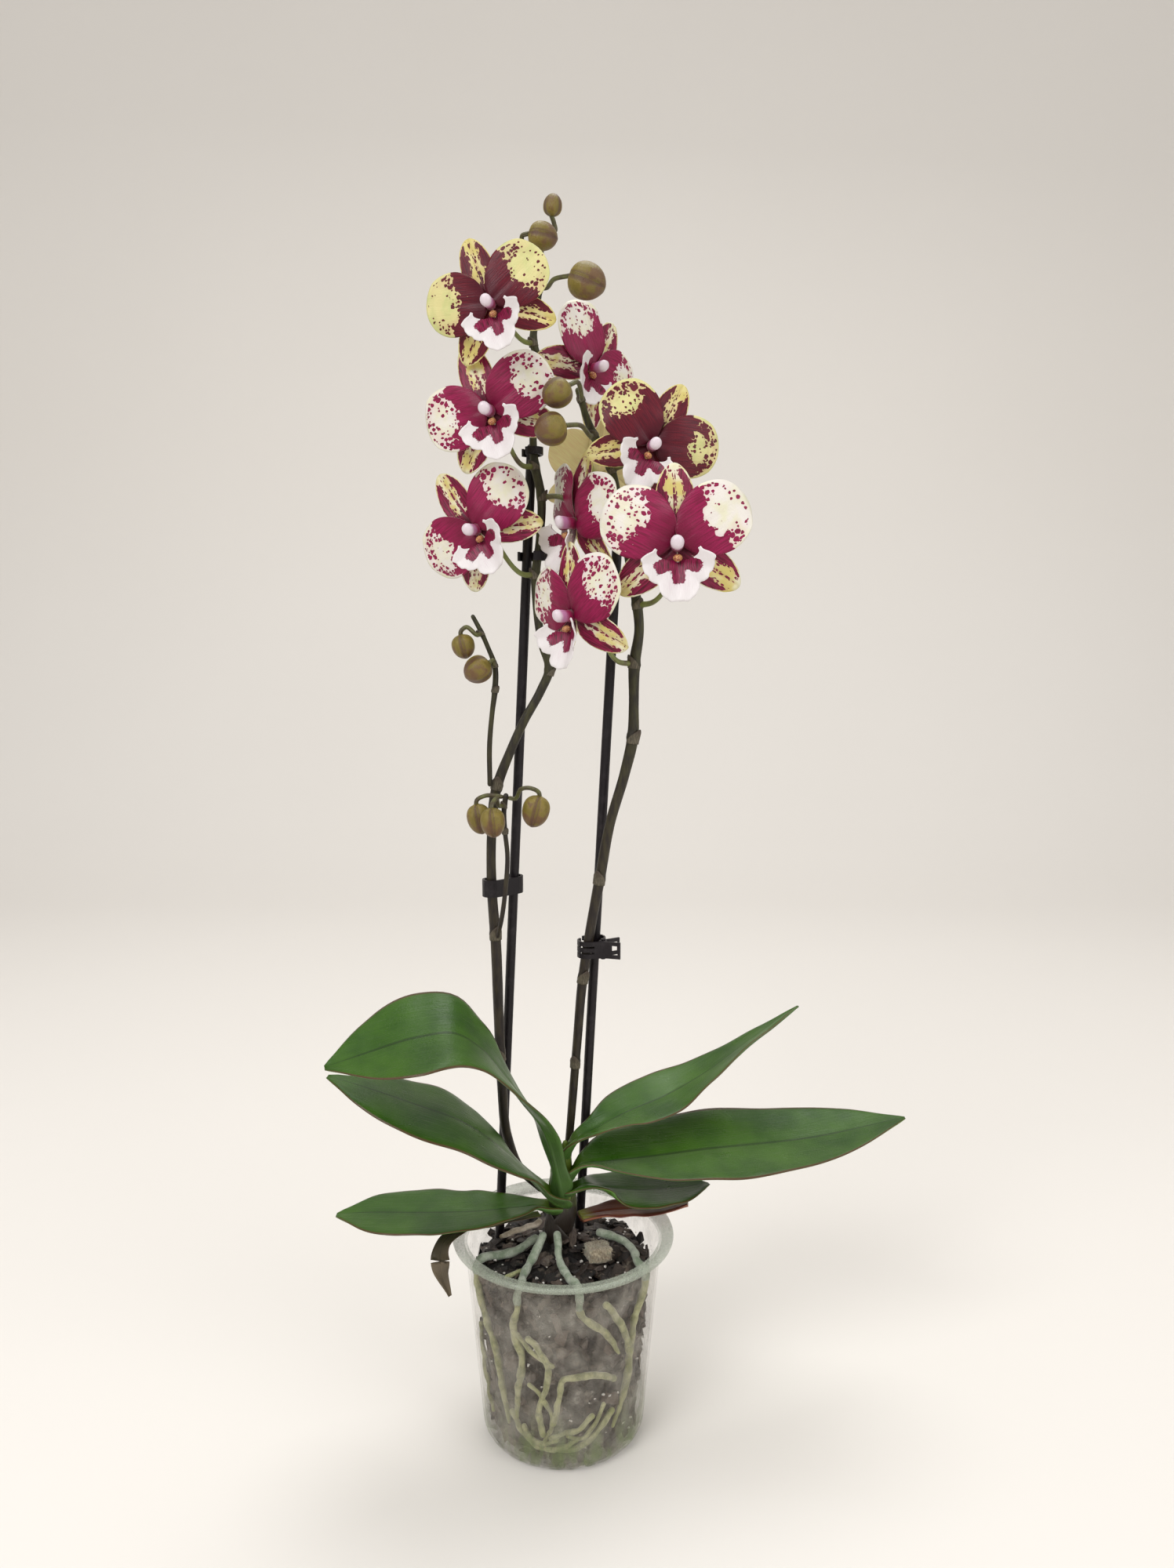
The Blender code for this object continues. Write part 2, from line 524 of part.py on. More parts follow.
def build_stems():
    add_tube("flower_spike_left", LEFT_SPIKE, 38, 6, STEM)
    add_tube("flower_spike_right", RIGHT_SPIKE, 34, 6, STEM)
    add_tube("side_branch_upper", UPPER_BRANCH, 14, 6, STEM)
    add_tube("side_branch_lower", LOWER_BRANCH, 12, 6, STEM)
    for side, ends in STAKES.items():
        foot, top = np.array(ends)
        along = unit(top - foot)
        rows = [(*foot, STAKE_R * 0.35), (*(foot + along * 0.008), STAKE_R),
                (*(top - along * 0.001), STAKE_R), (*top, STAKE_R * 0.7)]
        rings = tube_rings([r[:3] for r in rows], [r[3] for r in rows], 10, any_side(along))
        add_object("stake_" + side, *loft(rings), BLACK_PLASTIC)


# ---- Flowers ------------------------------------------------------------------------------

# Each flower: centre, azimuth it faces (degrees, 0 is -Y, positive towards +X), elevation, roll
# (positive turns it anticlockwise as seen from its front), size, the stem that it grows from with
# the height and plan direction (degrees from +X) where its pedicel leaves, and its ground colour.
FLOWERS = {
    "flower_1": ((-0.0312, -0.0380, 0.5862), -10, -8, 22, 0.88, ("left", 0.5778, -125), PETAL_YELLOW),
    "flower_2": ((0.0156, 0.0080, 0.5669), 42, -4, -40, 0.90, ("left", 0.5656, 20), PETAL_WHITE),
    "flower_3": ((-0.0330, -0.0270, 0.5408), -12, -6, 23, 0.95, ("left", 0.5180, -135), PETAL_WHITE),
    "flower_4": ((0.0438, -0.0335, 0.5239), 6, -6, -29, 0.90, ("right", 0.5160, -20), PETAL_YELLOW),
    "flower_5": ((-0.0417, -0.0110, 0.4872), -20, -10, 40, 0.96, ("left", 0.4642, -145), PETAL_WHITE),
    "flower_6": ((0.0075, -0.0120, 0.4903), -62, -6, -12, 0.98, ("left", 0.5039, -10), PETAL_WHITE),
    "flower_7": ((0.0542, -0.0520, 0.4776), -3, -4, 3, 1.04, ("right", 0.4500, -40), PETAL_WHITE),
    "flower_8": ((0.0060, -0.0330, 0.4453), -50, -8, 8, 0.98, ("right", 0.4198, -150), PETAL_WHITE),
    "flower_9": ((0.0185, 0.0340, 0.5180), 165, -6, 10, 0.82, ("right", 0.5250, 100), PETAL_YELLOW),
}

# Flowers whose petals stand lower or higher than PETAL_RISE.
OWN_RISE = {"flower_1": 21.0, "flower_3": 12.0, "flower_5": 10.0, "flower_4": 26.0}

# Directions round the right half of a flower, in degrees, at which its outline is read.
OUTLINE = [80, 71, 58, 42, 28, 12, -4, -16, -28, -38, -50, -66]


def tepal_reach(degrees, rise):
    """Distance from the column to the flower's outline in one direction."""
    reach = FLOWER_CORE_R + 0.0016
    for centre in (rise, 180 - rise):
        turn = math.radians(degrees - centre)
        across = PETAL_OFFSET * math.sin(turn)
        if math.cos(turn) > 0 and abs(across) < PETAL_R:
            reach = max(reach, PETAL_OFFSET * math.cos(turn) + math.sqrt(PETAL_R ** 2 - across ** 2))
    half = SEPAL_LENGTH / 2
    for centre in (90, -LATERAL_SEPAL_DROP, 180 + LATERAL_SEPAL_DROP):
        turn = math.radians(degrees - centre)
        c, s = math.cos(turn), math.sin(turn)
        if c > 0:
            reach = max(reach, (2 * c / half) / ((c / half) ** 2 + (s / SEPAL_HALF_WIDTH) ** 2))
    return reach


def bridge(faces, ring_a, angles_a, ring_b, angles_b):
    """Triangles between two rings of different counts, matched by angle."""
    i = j = 0
    turn = 2 * math.pi
    while i < len(ring_a) or j < len(ring_b):
        next_a = angles_a[(i + 1) % len(ring_a)] + turn * ((i + 1) // len(ring_a))
        next_b = angles_b[(j + 1) % len(ring_b)] + turn * ((j + 1) // len(ring_b))
        a, b = ring_a[i % len(ring_a)], ring_b[j % len(ring_b)]
        if j == len(ring_b) or (i < len(ring_a) and next_a <= next_b):
            faces.append((a, ring_a[(i + 1) % len(ring_a)], b))
            i += 1
        else:
            faces.append((a, ring_b[(j + 1) % len(ring_b)], b))
            j += 1


def flower_frame(centre, azimuth, elevation, roll):
    """The matrix that turns a flower from its own axes (+Z forward, +Y up) into place."""
    az, el = math.radians(azimuth), math.radians(elevation)
    forward = Vector((math.sin(az) * math.cos(el), -math.cos(az) * math.cos(el), math.sin(el)))
    up = Vector((0.0, 0.0, 1.0))
    right = up.cross(forward).normalized()
    up = forward.cross(right)
    turn = Matrix((right, up, forward)).transposed() @ Matrix.Rotation(math.radians(roll), 3, "Z")
    return Matrix.Translation(centre) @ turn.to_4x4()


def perianth_mesh(size, rise, pedicel):
    """Five tepals, column and pedicel as one closed body in the flower's own axes."""
    degrees = [-90] + OUTLINE[::-1] + [90] + [180 - d for d in OUTLINE]
    angles = [math.radians(d) for d in degrees]
    reaches = [tepal_reach(d, rise) * size for d in degrees]
    verts, faces = [], []

    def add_ring(points):
        verts.extend(points)
        return list(range(len(verts) - len(points), len(verts)))

    def outline_ring(share, side):
        core = FLOWER_CORE_R * size
        ring = []
        for degree, angle, reach in zip(degrees, angles, reaches):
            r = core + (reach - core) * share
            is_sepal = degree > 70 and degree < 110 or degree < -20 or degree > 200
            depth = (SEPAL_DEPTH if is_sepal else PETAL_DEPTH) * share
            half = TEPAL_THICKNESS * (0.5 + 0.3 * (1 - share))
            ring.append((r * math.cos(angle), r * math.sin(angle), depth + side * half))
        return add_ring(ring)

    def join(ring_a, ring_b):
        for k in range(len(ring_a)):
            n = (k + 1) % len(ring_a)
            faces.append((ring_a[k], ring_a[n], ring_b[n], ring_b[k]))

    def small_ring(radius, z):
        return add_ring([(radius * math.cos(a), radius * math.sin(a), z) for a in small_angles])

    small_sides = 6
    small_angles = [-math.pi / 2 + 2 * math.pi * k / small_sides for k in range(small_sides)]
    shares = (0.0, 0.55, 1.0)
    front = [outline_ring(share, 1) for share in shares]
    back = [outline_ring(share, -1) for share in shares]
    for rings in (front, back):
        for ring_a, ring_b in zip(rings, rings[1:]):
            join(ring_a, ring_b)
    join(front[-1], back[-1])
    column = [small_ring(COLUMN_R * width, COLUMN_LENGTH * z)
              for width, z in ((1.0, 0.18), (0.95, 0.70), (0.55, 1.0))]
    bridge(faces, front[0], angles, column[0], small_angles)
    for ring_a, ring_b in zip(column, column[1:]):
        join(ring_a, ring_b)
    faces.append(tuple(column[-1]))
    centres = smooth_rows(pedicel, 8)
    radii = np.linspace(PEDICEL_R * 1.15, PEDICEL_R, 8)
    stem = [add_ring(ring) for ring in tube_rings(centres, radii, small_sides, (0.0, -1.0, 0.0))]
    mirrored = [[ring[0]] + ring[:0:-1] for ring in stem]
    bridge(faces, back[0], angles, mirrored[0], small_angles)
    for ring_a, ring_b in zip(mirrored, mirrored[1:]):
        join(ring_a, ring_b)
    faces.append(tuple(mirrored[-1]))
    return verts, faces


def lip_grid(size, along, across):
    """The lip's middle surface in the flower's own axes: side lobes curl up round the column."""
    points = []
    for v in np.linspace(0.0, 1.0, along):
        half = 0.0035 + 0.0125 * math.sin(math.pi * min(v * 1.25, 1.0)) ** 1.2 * (1.0 - 0.25 * v)
        row = []
        for u in np.linspace(-1.0, 1.0, across):
            wing = abs(u) ** 1.6 * math.sin(math.pi * min(v * 1.2, 1.0))
            x = u * half
            y = -0.0045 - 0.0240 * v + 0.0110 * wing
            z = 0.0030 + 0.0075 * math.sin(math.pi * 0.75 * v) + 0.0040 * wing
            row.append((x * size, y * size, z * size))
        points.append(row)
    return np.array(points)


def stem_exit(stem, height, plan_degrees, reach):
    """A point beside a stem at a height, this far out from its surface in a plan direction."""
    rows = smooth_rows(STEMS[stem], 200)
    k = int(np.argmin(abs(rows[:, 2] - height)))
    along = unit(rows[min(k + 1, len(rows) - 1), :3] - rows[k - 1, :3])
    a = math.radians(plan_degrees)
    out = np.array((math.cos(a), math.sin(a), 0.0))
    out = unit(out - along * out.dot(along))
    return rows[k, :3] + out * (rows[k, 3] + reach)


def build_flowers():
    for name, (centre, azimuth, elevation, roll, size, node, material) in FLOWERS.items():
        frame = flower_frame(centre, azimuth, elevation, roll)
        inverse = frame.inverted()
        behind = -0.0022 * size
        pedicel = [(0.0, 0.0, behind), (0.0, 0.0, behind - 0.0065),
                   tuple(inverse @ Vector(stem_exit(*node, STALK_RUN))),
                   tuple(inverse @ Vector(stem_exit(*node, STALK_GAP)))]
        rise = OWN_RISE.get(name, PETAL_RISE)
        flower = add_object(name, *perianth_mesh(size, rise, pedicel), material)
        points = lip_grid(size, 5, 5)
        lip = add_object(name + "_lip", *sheet_body(points, grid_normals(points),
                                                   np.full(points.shape[:2], TEPAL_THICKNESS)), LIP)
        for obj in (flower, lip):
            obj.location = frame.to_translation()
            obj.rotation_euler = frame.to_euler()


# ---- Buds ---------------------------------------------------------------------------------

# Each bud: the stem it grows from with the height and plan direction where its pedicel leaves,
# the pedicel's points between, the bud's base and tip, and its radius.
BUDS = {
    "bud_1": (("left", 0.6290, 0), [(-0.0030, -0.0005, 0.6325)], (-0.0040, -0.0015, 0.6350),
              (-0.0030, -0.0020, 0.6455), 0.0046),
    "bud_2": (("left", 0.6180, 180), [(-0.0175, -0.0050, 0.6205), (-0.0180, -0.0070, 0.6245)],
              (-0.0150, -0.0082, 0.6252), (-0.0010, -0.0080, 0.6225), 0.0068),
    "bud_3": (("left", 0.6009, -40), [(-0.0030, -0.0090, 0.6040)], (0.0050, -0.0150, 0.6042),
              (0.0215, -0.0195, 0.5975), 0.0088),
    "bud_4": (("right", 0.5460, -90), [(0.0085, -0.0335, 0.5520)], (0.0050, -0.0385, 0.5498),
              (-0.0068, -0.0398, 0.5420), 0.0070),
    "bud_5": (("right", 0.5307, -110), [(0.0100, -0.0330, 0.5325)], (0.0035, -0.0420, 0.5312),
              (-0.0110, -0.0440, 0.5275), 0.0078),
    "bud_6": (("upper", 0.4360, -120), [(-0.0475, -0.0095, 0.4388), (-0.0500, -0.0100, 0.4362)],
              (-0.0500, -0.0100, 0.4352), (-0.0472, -0.0100, 0.4232), 0.0058),
    "bud_7": (("upper", 0.4200, -90), [(-0.0340, -0.0120, 0.4225)], (-0.0355, -0.0130, 0.4215),
              (-0.0475, -0.0145, 0.4140), 0.0070),
    "bud_8": (("lower", 0.3530, 180), [(-0.0390, -0.0115, 0.3540), (-0.0430, -0.0120, 0.3515)],
              (-0.0432, -0.0120, 0.3500), (-0.0400, -0.0120, 0.3345), 0.0062),
    "bud_9": (("lower", 0.3490, -120), [(-0.0325, -0.0205, 0.3540), (-0.0342, -0.0238, 0.3515)],
              (-0.0345, -0.0245, 0.3500), (-0.0330, -0.0245, 0.3350), 0.0062),
    "bud_10": (("lower", 0.3530, 0), [(-0.0200, -0.0140, 0.3580), (-0.0150, -0.0155, 0.3585),
                                      (-0.0110, -0.0160, 0.3560)],
               (-0.0108, -0.0160, 0.3548), (-0.0150, -0.0160, 0.3388), 0.0070),
}
BUD_SHAPE = [(0.14, 0.66), (0.36, 0.96), (0.58, 1.0), (0.84, 0.64), (1.0, 0.16)]


def build_buds():
    for name, (node, pedicel, base, tip, radius) in BUDS.items():
        base, tip = np.array(base), np.array(tip)
        stalk = PEDICEL_R * 0.8
        points = [tuple(stem_exit(*node, STALK_GAP)), tuple(stem_exit(*node, STALK_RUN * 0.8)),
                  *pedicel, tuple(base)]
        centres = list(smooth_rows(points, 2 * len(points) - 2))
        radii = [stalk] * len(centres)
        for share, width in BUD_SHAPE:
            centres.append(base + (tip - base) * share)
            radii.append(radius * width)
        rings = tube_rings(centres, radii, 7, any_side(centres[1] - centres[0]))
        add_object(name, *loft(rings), BUD)


# ---- Clips --------------------------------------------------------------------------------

CLIP_THICKNESS = 0.0011
CLIP_RING_R = 0.0044


def band_body(path, thickness, low, high):
    """A strip of constant thickness that follows a plan path, standing from low to high."""
    path = np.array(path, float)
    tangents = np.gradient(path, axis=0)
    normals = np.stack([-tangents[:, 1], tangents[:, 0]], axis=1)
    normals /= np.linalg.norm(normals, axis=1)[:, None]
    left = path + normals * thickness / 2
    right = path - normals * thickness / 2
    verts, faces = [], []
    for a, b in zip(left, right):
        verts += [(*a, low), (*b, low), (*b, high), (*a, high)]
    for k in range(len(path) - 1):
        for j in range(4):
            n = (j + 1) % 4
            faces.append((k * 4 + j, k * 4 + n, k * 4 + 4 + n, k * 4 + 4 + j))
    end = 4 * (len(path) - 1)
    faces += [(3, 2, 1, 0), (end, end + 1, end + 2, end + 3)]
    return verts, faces


def twin_ring_path(spike, stake, sweep):
    """Plan path of a clip: an open ring round the spike, a bar, an open ring round the stake."""
    spike, stake = np.array(spike), np.array(stake)
    direction = math.atan2(*(stake - spike)[::-1])
    front = direction - math.pi / 2
    path = []
    for a in np.linspace(front - math.radians(sweep), front, 8):
        path.append(spike + CLIP_RING_R * np.array([math.cos(a), math.sin(a)]))
    for a in np.linspace(front, front + math.radians(sweep), 8):
        path.append(stake + CLIP_RING_R * np.array([math.cos(a), math.sin(a)]))
    return path


# Each ring clip: the stem and stake that it joins, its lowest and highest point, and how far each
# ring wraps in degrees.
RING_CLIPS = {
    "twin_ring_clip": ("left", 0.2995, 0.3085, 200),
    "upper_left_clip": ("left", 0.5235, 0.5272, 160),
    "middle_left_clip": ("left", 0.4720, 0.4765, 160),
    "upper_right_clip": ("right", 0.4920, 0.4985, 150),
}

# Claw clip, in plan about the hinge pin.
CLAW_LOW = 0.2655
CLAW_HIGH = 0.2745
CLAW_HINGE = (0.0215, 0.0035)
CLAW_PIN_R = 0.00055
CLAW_BORE_R = 0.00095
CLAW_KNUCKLE_R = 0.0022
KNUCKLE_LOW = 0.2683         # the back jaw's knuckle lies between these heights
KNUCKLE_HIGH = 0.2717
FRONT_JAW = [(0.0090, -0.0047), (0.0035, -0.0031), (0.0, -0.0025), (-0.0050, -0.0032),
             (-0.0090, -0.0036), (-0.0123, -0.0018), (-0.0133, 0.0018), (-0.0121, 0.0049)]
BACK_JAW = [(0.0087, 0.0063), (0.0040, 0.0036), (0.0004, 0.0021), (0.0010, 0.0057), (0.0006, 0.0092),
            (-0.0013, 0.0120), (-0.0047, 0.0130), (-0.0083, 0.0114), (-0.0109, 0.0086)]


def add_box_cutter(name, boxes):
    """One tool object made of boxes, each given by its low and high corners."""
    verts, faces = [], []
    for (x0, y0, z0), (x1, y1, z1) in boxes:
        base = len(verts)
        verts += [(x, y, z) for z in (z0, z1) for x, y in ((x0, y0), (x1, y0), (x1, y1), (x0, y1))]
        faces += [tuple(base + i for i in face) for face in
                  ((3, 2, 1, 0), (4, 5, 6, 7), (0, 1, 5, 4), (1, 2, 6, 5), (2, 3, 7, 6), (3, 0, 4, 7))]
    return add_object(name, verts, faces, BLACK_PLASTIC)


def add_knuckle(name, low, high):
    """A short turned ring on the hinge axis."""
    return add_turned(name, [(CLAW_BORE_R, low), (CLAW_KNUCKLE_R, low), (CLAW_KNUCKLE_R, high),
                             (CLAW_BORE_R, high)], 10, BLACK_PLASTIC, ring=True)


def add_clearance(name, low, high):
    """A round tool that clears one jaw from the other jaw's knuckle."""
    return add_turned(name, [(CLAW_KNUCKLE_R + GAP, low), (CLAW_KNUCKLE_R + GAP, high)], 10,
                      BLACK_PLASTIC)


def build_claw_clip():
    """Two jaws that share a hinge pin, with three fingers each and squeeze handles."""
    finger_gaps = [((-0.0175, -0.0080, 0.2679), (-0.0045, 0.0170, 0.2689)),
                   ((-0.0175, -0.0080, 0.2711), (-0.0045, 0.0170, 0.2721))]
    front_window = [((0.0047, -0.0065, 0.2675), (0.0075, 0.0005, 0.2725))]
    back_window = [((0.0047, 0.0015, 0.2675), (0.0075, 0.0085, 0.2725))]
    front = add_object("claw_clip_front_jaw",
                       *band_body(smooth_plan(FRONT_JAW, 13), 0.0010, CLAW_LOW, CLAW_HIGH),
                       BLACK_PLASTIC)
    back = add_object("claw_clip_back_jaw",
                      *band_body(smooth_plan(BACK_JAW, 15), 0.0010, CLAW_LOW, CLAW_HIGH),
                      BLACK_PLASTIC)
    steps = [(front, add_box_cutter("front_jaw_slots", finger_gaps + front_window), "DIFFERENCE"),
             (front, add_clearance("front_clearance", KNUCKLE_LOW - GAP, KNUCKLE_HIGH + GAP),
              "DIFFERENCE"),
             (front, add_knuckle("front_knuckle_low", CLAW_LOW, KNUCKLE_LOW - GAP), "UNION"),
             (front, add_knuckle("front_knuckle_high", KNUCKLE_HIGH + GAP, CLAW_HIGH), "UNION"),
             (back, add_box_cutter("back_jaw_slots", finger_gaps + back_window), "DIFFERENCE"),
             (back, add_clearance("back_clearance_low", CLAW_LOW - GAP, KNUCKLE_LOW), "DIFFERENCE"),
             (back, add_clearance("back_clearance_high", KNUCKLE_HIGH, CLAW_HIGH + GAP),
              "DIFFERENCE"),
             (back, add_knuckle("back_knuckle", KNUCKLE_LOW, KNUCKLE_HIGH), "UNION")]
    for obj, tool, operation in steps:
        add_boolean(obj, tool, operation)
    claw_tools = [tool for _, tool, _ in steps]
    head = 0.0013
    pin = add_turned("claw_clip_pin",
                     [(head, CLAW_LOW - GAP - 0.0006), (head, CLAW_LOW - GAP), (CLAW_PIN_R, CLAW_LOW - GAP),
                      (CLAW_PIN_R, CLAW_HIGH + GAP), (head, CLAW_HIGH + GAP),
                      (head, CLAW_HIGH + GAP + 0.0006)], 8, BLACK_PLASTIC)
    for obj in (front, back, pin, *claw_tools):
        obj.location = (*CLAW_HINGE, 0.0)


def smooth_plan(points, count):
    """Plan points read evenly from a smooth curve."""
    return smooth_rows([(x, y, 0.0) for x, y in points], count)[:, :2]


def build_ring_clips():
    for name, (side, low, high, sweep) in RING_CLIPS.items():
        middle = (low + high) / 2
        rows = smooth_rows(STEMS[side], 200)
        spike = rows[int(np.argmin(abs(rows[:, 2] - middle))), :2]
        foot, top = np.array(STAKES[side])
        stake = (foot + (top - foot) * (middle - foot[2]) / (top[2] - foot[2]))[:2]
        path = twin_ring_path(spike, stake, sweep)
        add_object(name, *band_body(path, CLIP_THICKNESS, low, high), BLACK_PLASTIC)


build_pot()
build_bark()
build_plug()
build_roots()
build_crown()
build_leaves()
build_stems()
build_flowers()
build_buds()
build_ring_clips()
build_claw_clip()
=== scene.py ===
"""The looks of a potted moth orchid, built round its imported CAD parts.

Metres, in the CAD frame: +Z up, the origin is the centre of the pot's flat base, flowers face -Y.
The design values below are the CAD's own, read here at a finer step.
"""
import math

import bmesh
import bpy
import numpy as np
from mathutils import Matrix, Vector, noise


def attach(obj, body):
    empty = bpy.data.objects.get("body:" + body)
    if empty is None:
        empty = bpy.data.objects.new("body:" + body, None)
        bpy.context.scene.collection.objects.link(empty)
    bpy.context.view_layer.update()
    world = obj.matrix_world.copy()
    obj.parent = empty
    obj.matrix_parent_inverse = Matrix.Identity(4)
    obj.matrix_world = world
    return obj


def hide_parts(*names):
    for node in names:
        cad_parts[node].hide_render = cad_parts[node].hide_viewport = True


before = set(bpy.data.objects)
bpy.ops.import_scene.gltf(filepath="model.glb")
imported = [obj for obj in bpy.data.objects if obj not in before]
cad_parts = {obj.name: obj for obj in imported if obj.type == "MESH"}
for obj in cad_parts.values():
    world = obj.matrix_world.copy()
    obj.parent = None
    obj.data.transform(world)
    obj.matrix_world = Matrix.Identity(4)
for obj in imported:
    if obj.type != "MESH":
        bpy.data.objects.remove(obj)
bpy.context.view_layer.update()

noise.seed_set(5)            # noise_vector depends on the seed

# ---- Design values shared with the CAD ----------------------------------------------------

STALK_GAP = 0.0008
STALK_RUN = 0.004

POT_HEIGHT = 0.114
POT_RIM_R = 0.06
POT_NECK_R = 0.0535
POT_FOOT_R = 0.0445
POT_FLAT_R = 0.037
POT_WALL = 0.0012
RIM_DROP = 0.003
FOOT_ROUND = 0.009
DRAIN_HOLES = 8
DRAIN_HOLE_R = 0.0028
DRAIN_CIRCLE_R = 0.04

BARK_TOP = 0.1005
BARK_BUMP = 0.0012
MOUND_HEIGHT = 0.0095
MOUND_R = 0.016
ROOT_GAP = 0.0062
ROOT_R = 0.0017

STAKE_R = 0.0025
STAKES = {"left": ((-0.0378, 0.013, 0.06), (-0.0147, 0.005, 0.5282)),
          "right": ((0.0064, 0.0185, 0.06), (0.0294, 0.004, 0.5017))}

CROWN_FOOT = (-0.003, 0.003, 0.088)
CROWN_TOP = (0.0012, 0.0025, 0.162)
CROWN_R = 0.0072

PEDICEL_R = 0.0014
PETAL_R = 0.016
PETAL_OFFSET = 0.02
PETAL_RISE = 29.0
SEPAL_LENGTH = 0.0345
SEPAL_HALF_WIDTH = 0.0088
LATERAL_SEPAL_DROP = 38.0

# Each leaf: rows of x, y, z, half width (in 0.1 mm) and roll in degrees, then its fold.
LEAVES = {
    "leaf_upper_left": ([(-35, -105, 1560, 55, 0), (-93, -180, 1792, 95, 4),
                         (-206, -260, 1989, 130, 8), (-302, -300, 2140, 165, 12),
                         (-409, -330, 2284, 220, 16), (-534, -360, 2372, 275, 20),
                         (-697, -380, 2362, 305, 22), (-957, -420, 2294, 200, 22),
                         (-1164, -460, 2232, 15, 20)], 0.1),
    "leaf_mid_left": ([(-125, -90, 1430, 100, 6), (-269, -185, 1640, 215, 8),
                       (-520, -260, 1865, 260, 8), (-748, -280, 1963, 240, 8),
                       (-997, -270, 2048, 145, 8), (-1205, -230, 2097, 15, 8)], -0.05),
    "leaf_lower_left": ([(-140, -20, 1275, 60, 0), (-243, -60, 1290, 125, 0),
                         (-439, -120, 1300, 185, 2), (-768, -140, 1300, 215, 4),
                         (-1013, -120, 1290, 170, 4), (-1210, -100, 1270, 15, 4)], 0.06),
    "leaf_right": ([(105, -40, 1530, 65, 4), (200, 0, 1520, 150, 8),
                    (461, 100, 1501, 265, 9), (805, 180, 1509, 330, 9),
                    (1038, 220, 1514, 325, 9), (1392, 270, 1532, 265, 9),
                    (1740, 300, 1593, 130, 9), (1924, 300, 1640, 12, 9)], 0.1),
    "leaf_upper_right": ([(70, -10, 1650, 45, 6), (178, 30, 1700, 75, 10),
                          (352, 185, 1724, 155, 16), (581, 340, 1756, 190, 10),
                          (814, 440, 1850, 170, -6), (1092, 530, 2020, 110, -14),
                          (1362, 600, 2190, 12, -14)], 0.16),
    "leaf_lower_right": ([(105, -10, 1390, 55, 0), (225, 70, 1335, 140, 2),
                          (442, 110, 1300, 220, 2), (664, 170, 1285, 150, 2),
                          (815, 220, 1285, 12, 2)], 0.08),
    "old_leaf_right": ([(95, 20, 1195, 45, 0), (245, 90, 1190, 80, 0),
                        (396, 120, 1185, 100, 0), (548, 130, 1190, 95, -4),
                        (690, 120, 1215, 45, -10)], 0.16),
    "dry_leaf_left": ([(-130, 10, 1220, 30, 0), (-350, -85, 1225, 40, 0),
                       (-540, -180, 1235, 50, 0), (-620, -240, 1190, 52, 0),
                       (-635, -275, 1060, 45, 0), (-585, -315, 935, 10, 0)], 0.04),
}

# Each row is x, y, z, radius, in 0.1 mm.
STEMS = {
    "left": [(-125, 85, 1330, 21), (-230, 75, 1440, 24), (-302, 55, 1640, 26),
             (-327, 32, 1945, 27), (-339, 12, 2321, 27), (-350, 0, 2753, 28),
             (-368, 0, 3056, 26), (-364, 0, 3339, 25), (-342, 0, 3544, 27),
             (-267, 0, 3748, 24), (-193, 0, 3910, 23), (-104, 0, 4070, 23),
             (-62, 0, 4175, 24), (-98, 0, 4309, 22), (-125, 0, 4505, 21),
             (-129, 0, 4642, 23), (-108, 0, 4816, 20), (-99, 0, 5039, 22),
             (-130, 0, 5191, 22), (-137, 0, 5293, 19), (-120, 0, 5500, 18),
             (-103, 0, 5656, 20), (-133, 0, 5778, 19), (-117, 0, 5906, 16),
             (-105, 0, 6009, 16), (-93, 0, 6197, 13), (-68, 0, 6300, 12)],
    "right": [(15, 115, 1400, 21), (36, 105, 1647, 22), (77, 70, 2172, 24),
              (107, 45, 2530, 26), (153, 30, 2837, 26), (198, 15, 3089, 28),
              (250, 0, 3380, 26), (326, 0, 3647, 27), (365, 0, 3829, 30),
              (369, 0, 3990, 26), (371, 0, 4198, 29), (394, 0, 4387, 25),
              (381, 0, 4513, 26), (344, -30, 4699, 22), (323, -50, 4813, 21),
              (298, -70, 4963, 21), (274, -90, 5055, 21), (250, -110, 5146, 21),
              (204, -140, 5236, 20), (162, -160, 5307, 21), (124, -180, 5395, 17),
              (102, -190, 5466, 16), (87, -200, 5507, 14)],
    "upper": [(-368, -35, 3590, 13), (-367, -40, 3792, 13), (-349, -50, 3974, 13),
              (-335, -60, 4074, 15), (-334, -60, 4192, 14), (-369, -60, 4290, 12),
              (-403, -60, 4368, 12), (-441, -60, 4440, 11)],
    "lower": [(-335, -45, 2790, 11), (-310, -90, 2900, 12), (-287, -105, 3071, 12),
              (-277, -105, 3235, 12), (-288, -105, 3357, 12), (-291, -105, 3479, 13),
              (-282, -105, 3539, 14)],
}
TENTHS = 10000               # 0.1 mm in a metre
STEMS = {name: np.array(rows) / TENTHS for name, rows in STEMS.items()}
STEM_NODES = {"left": "flower_spike_left", "right": "flower_spike_right",
              "upper": "side_branch_upper", "lower": "side_branch_lower"}

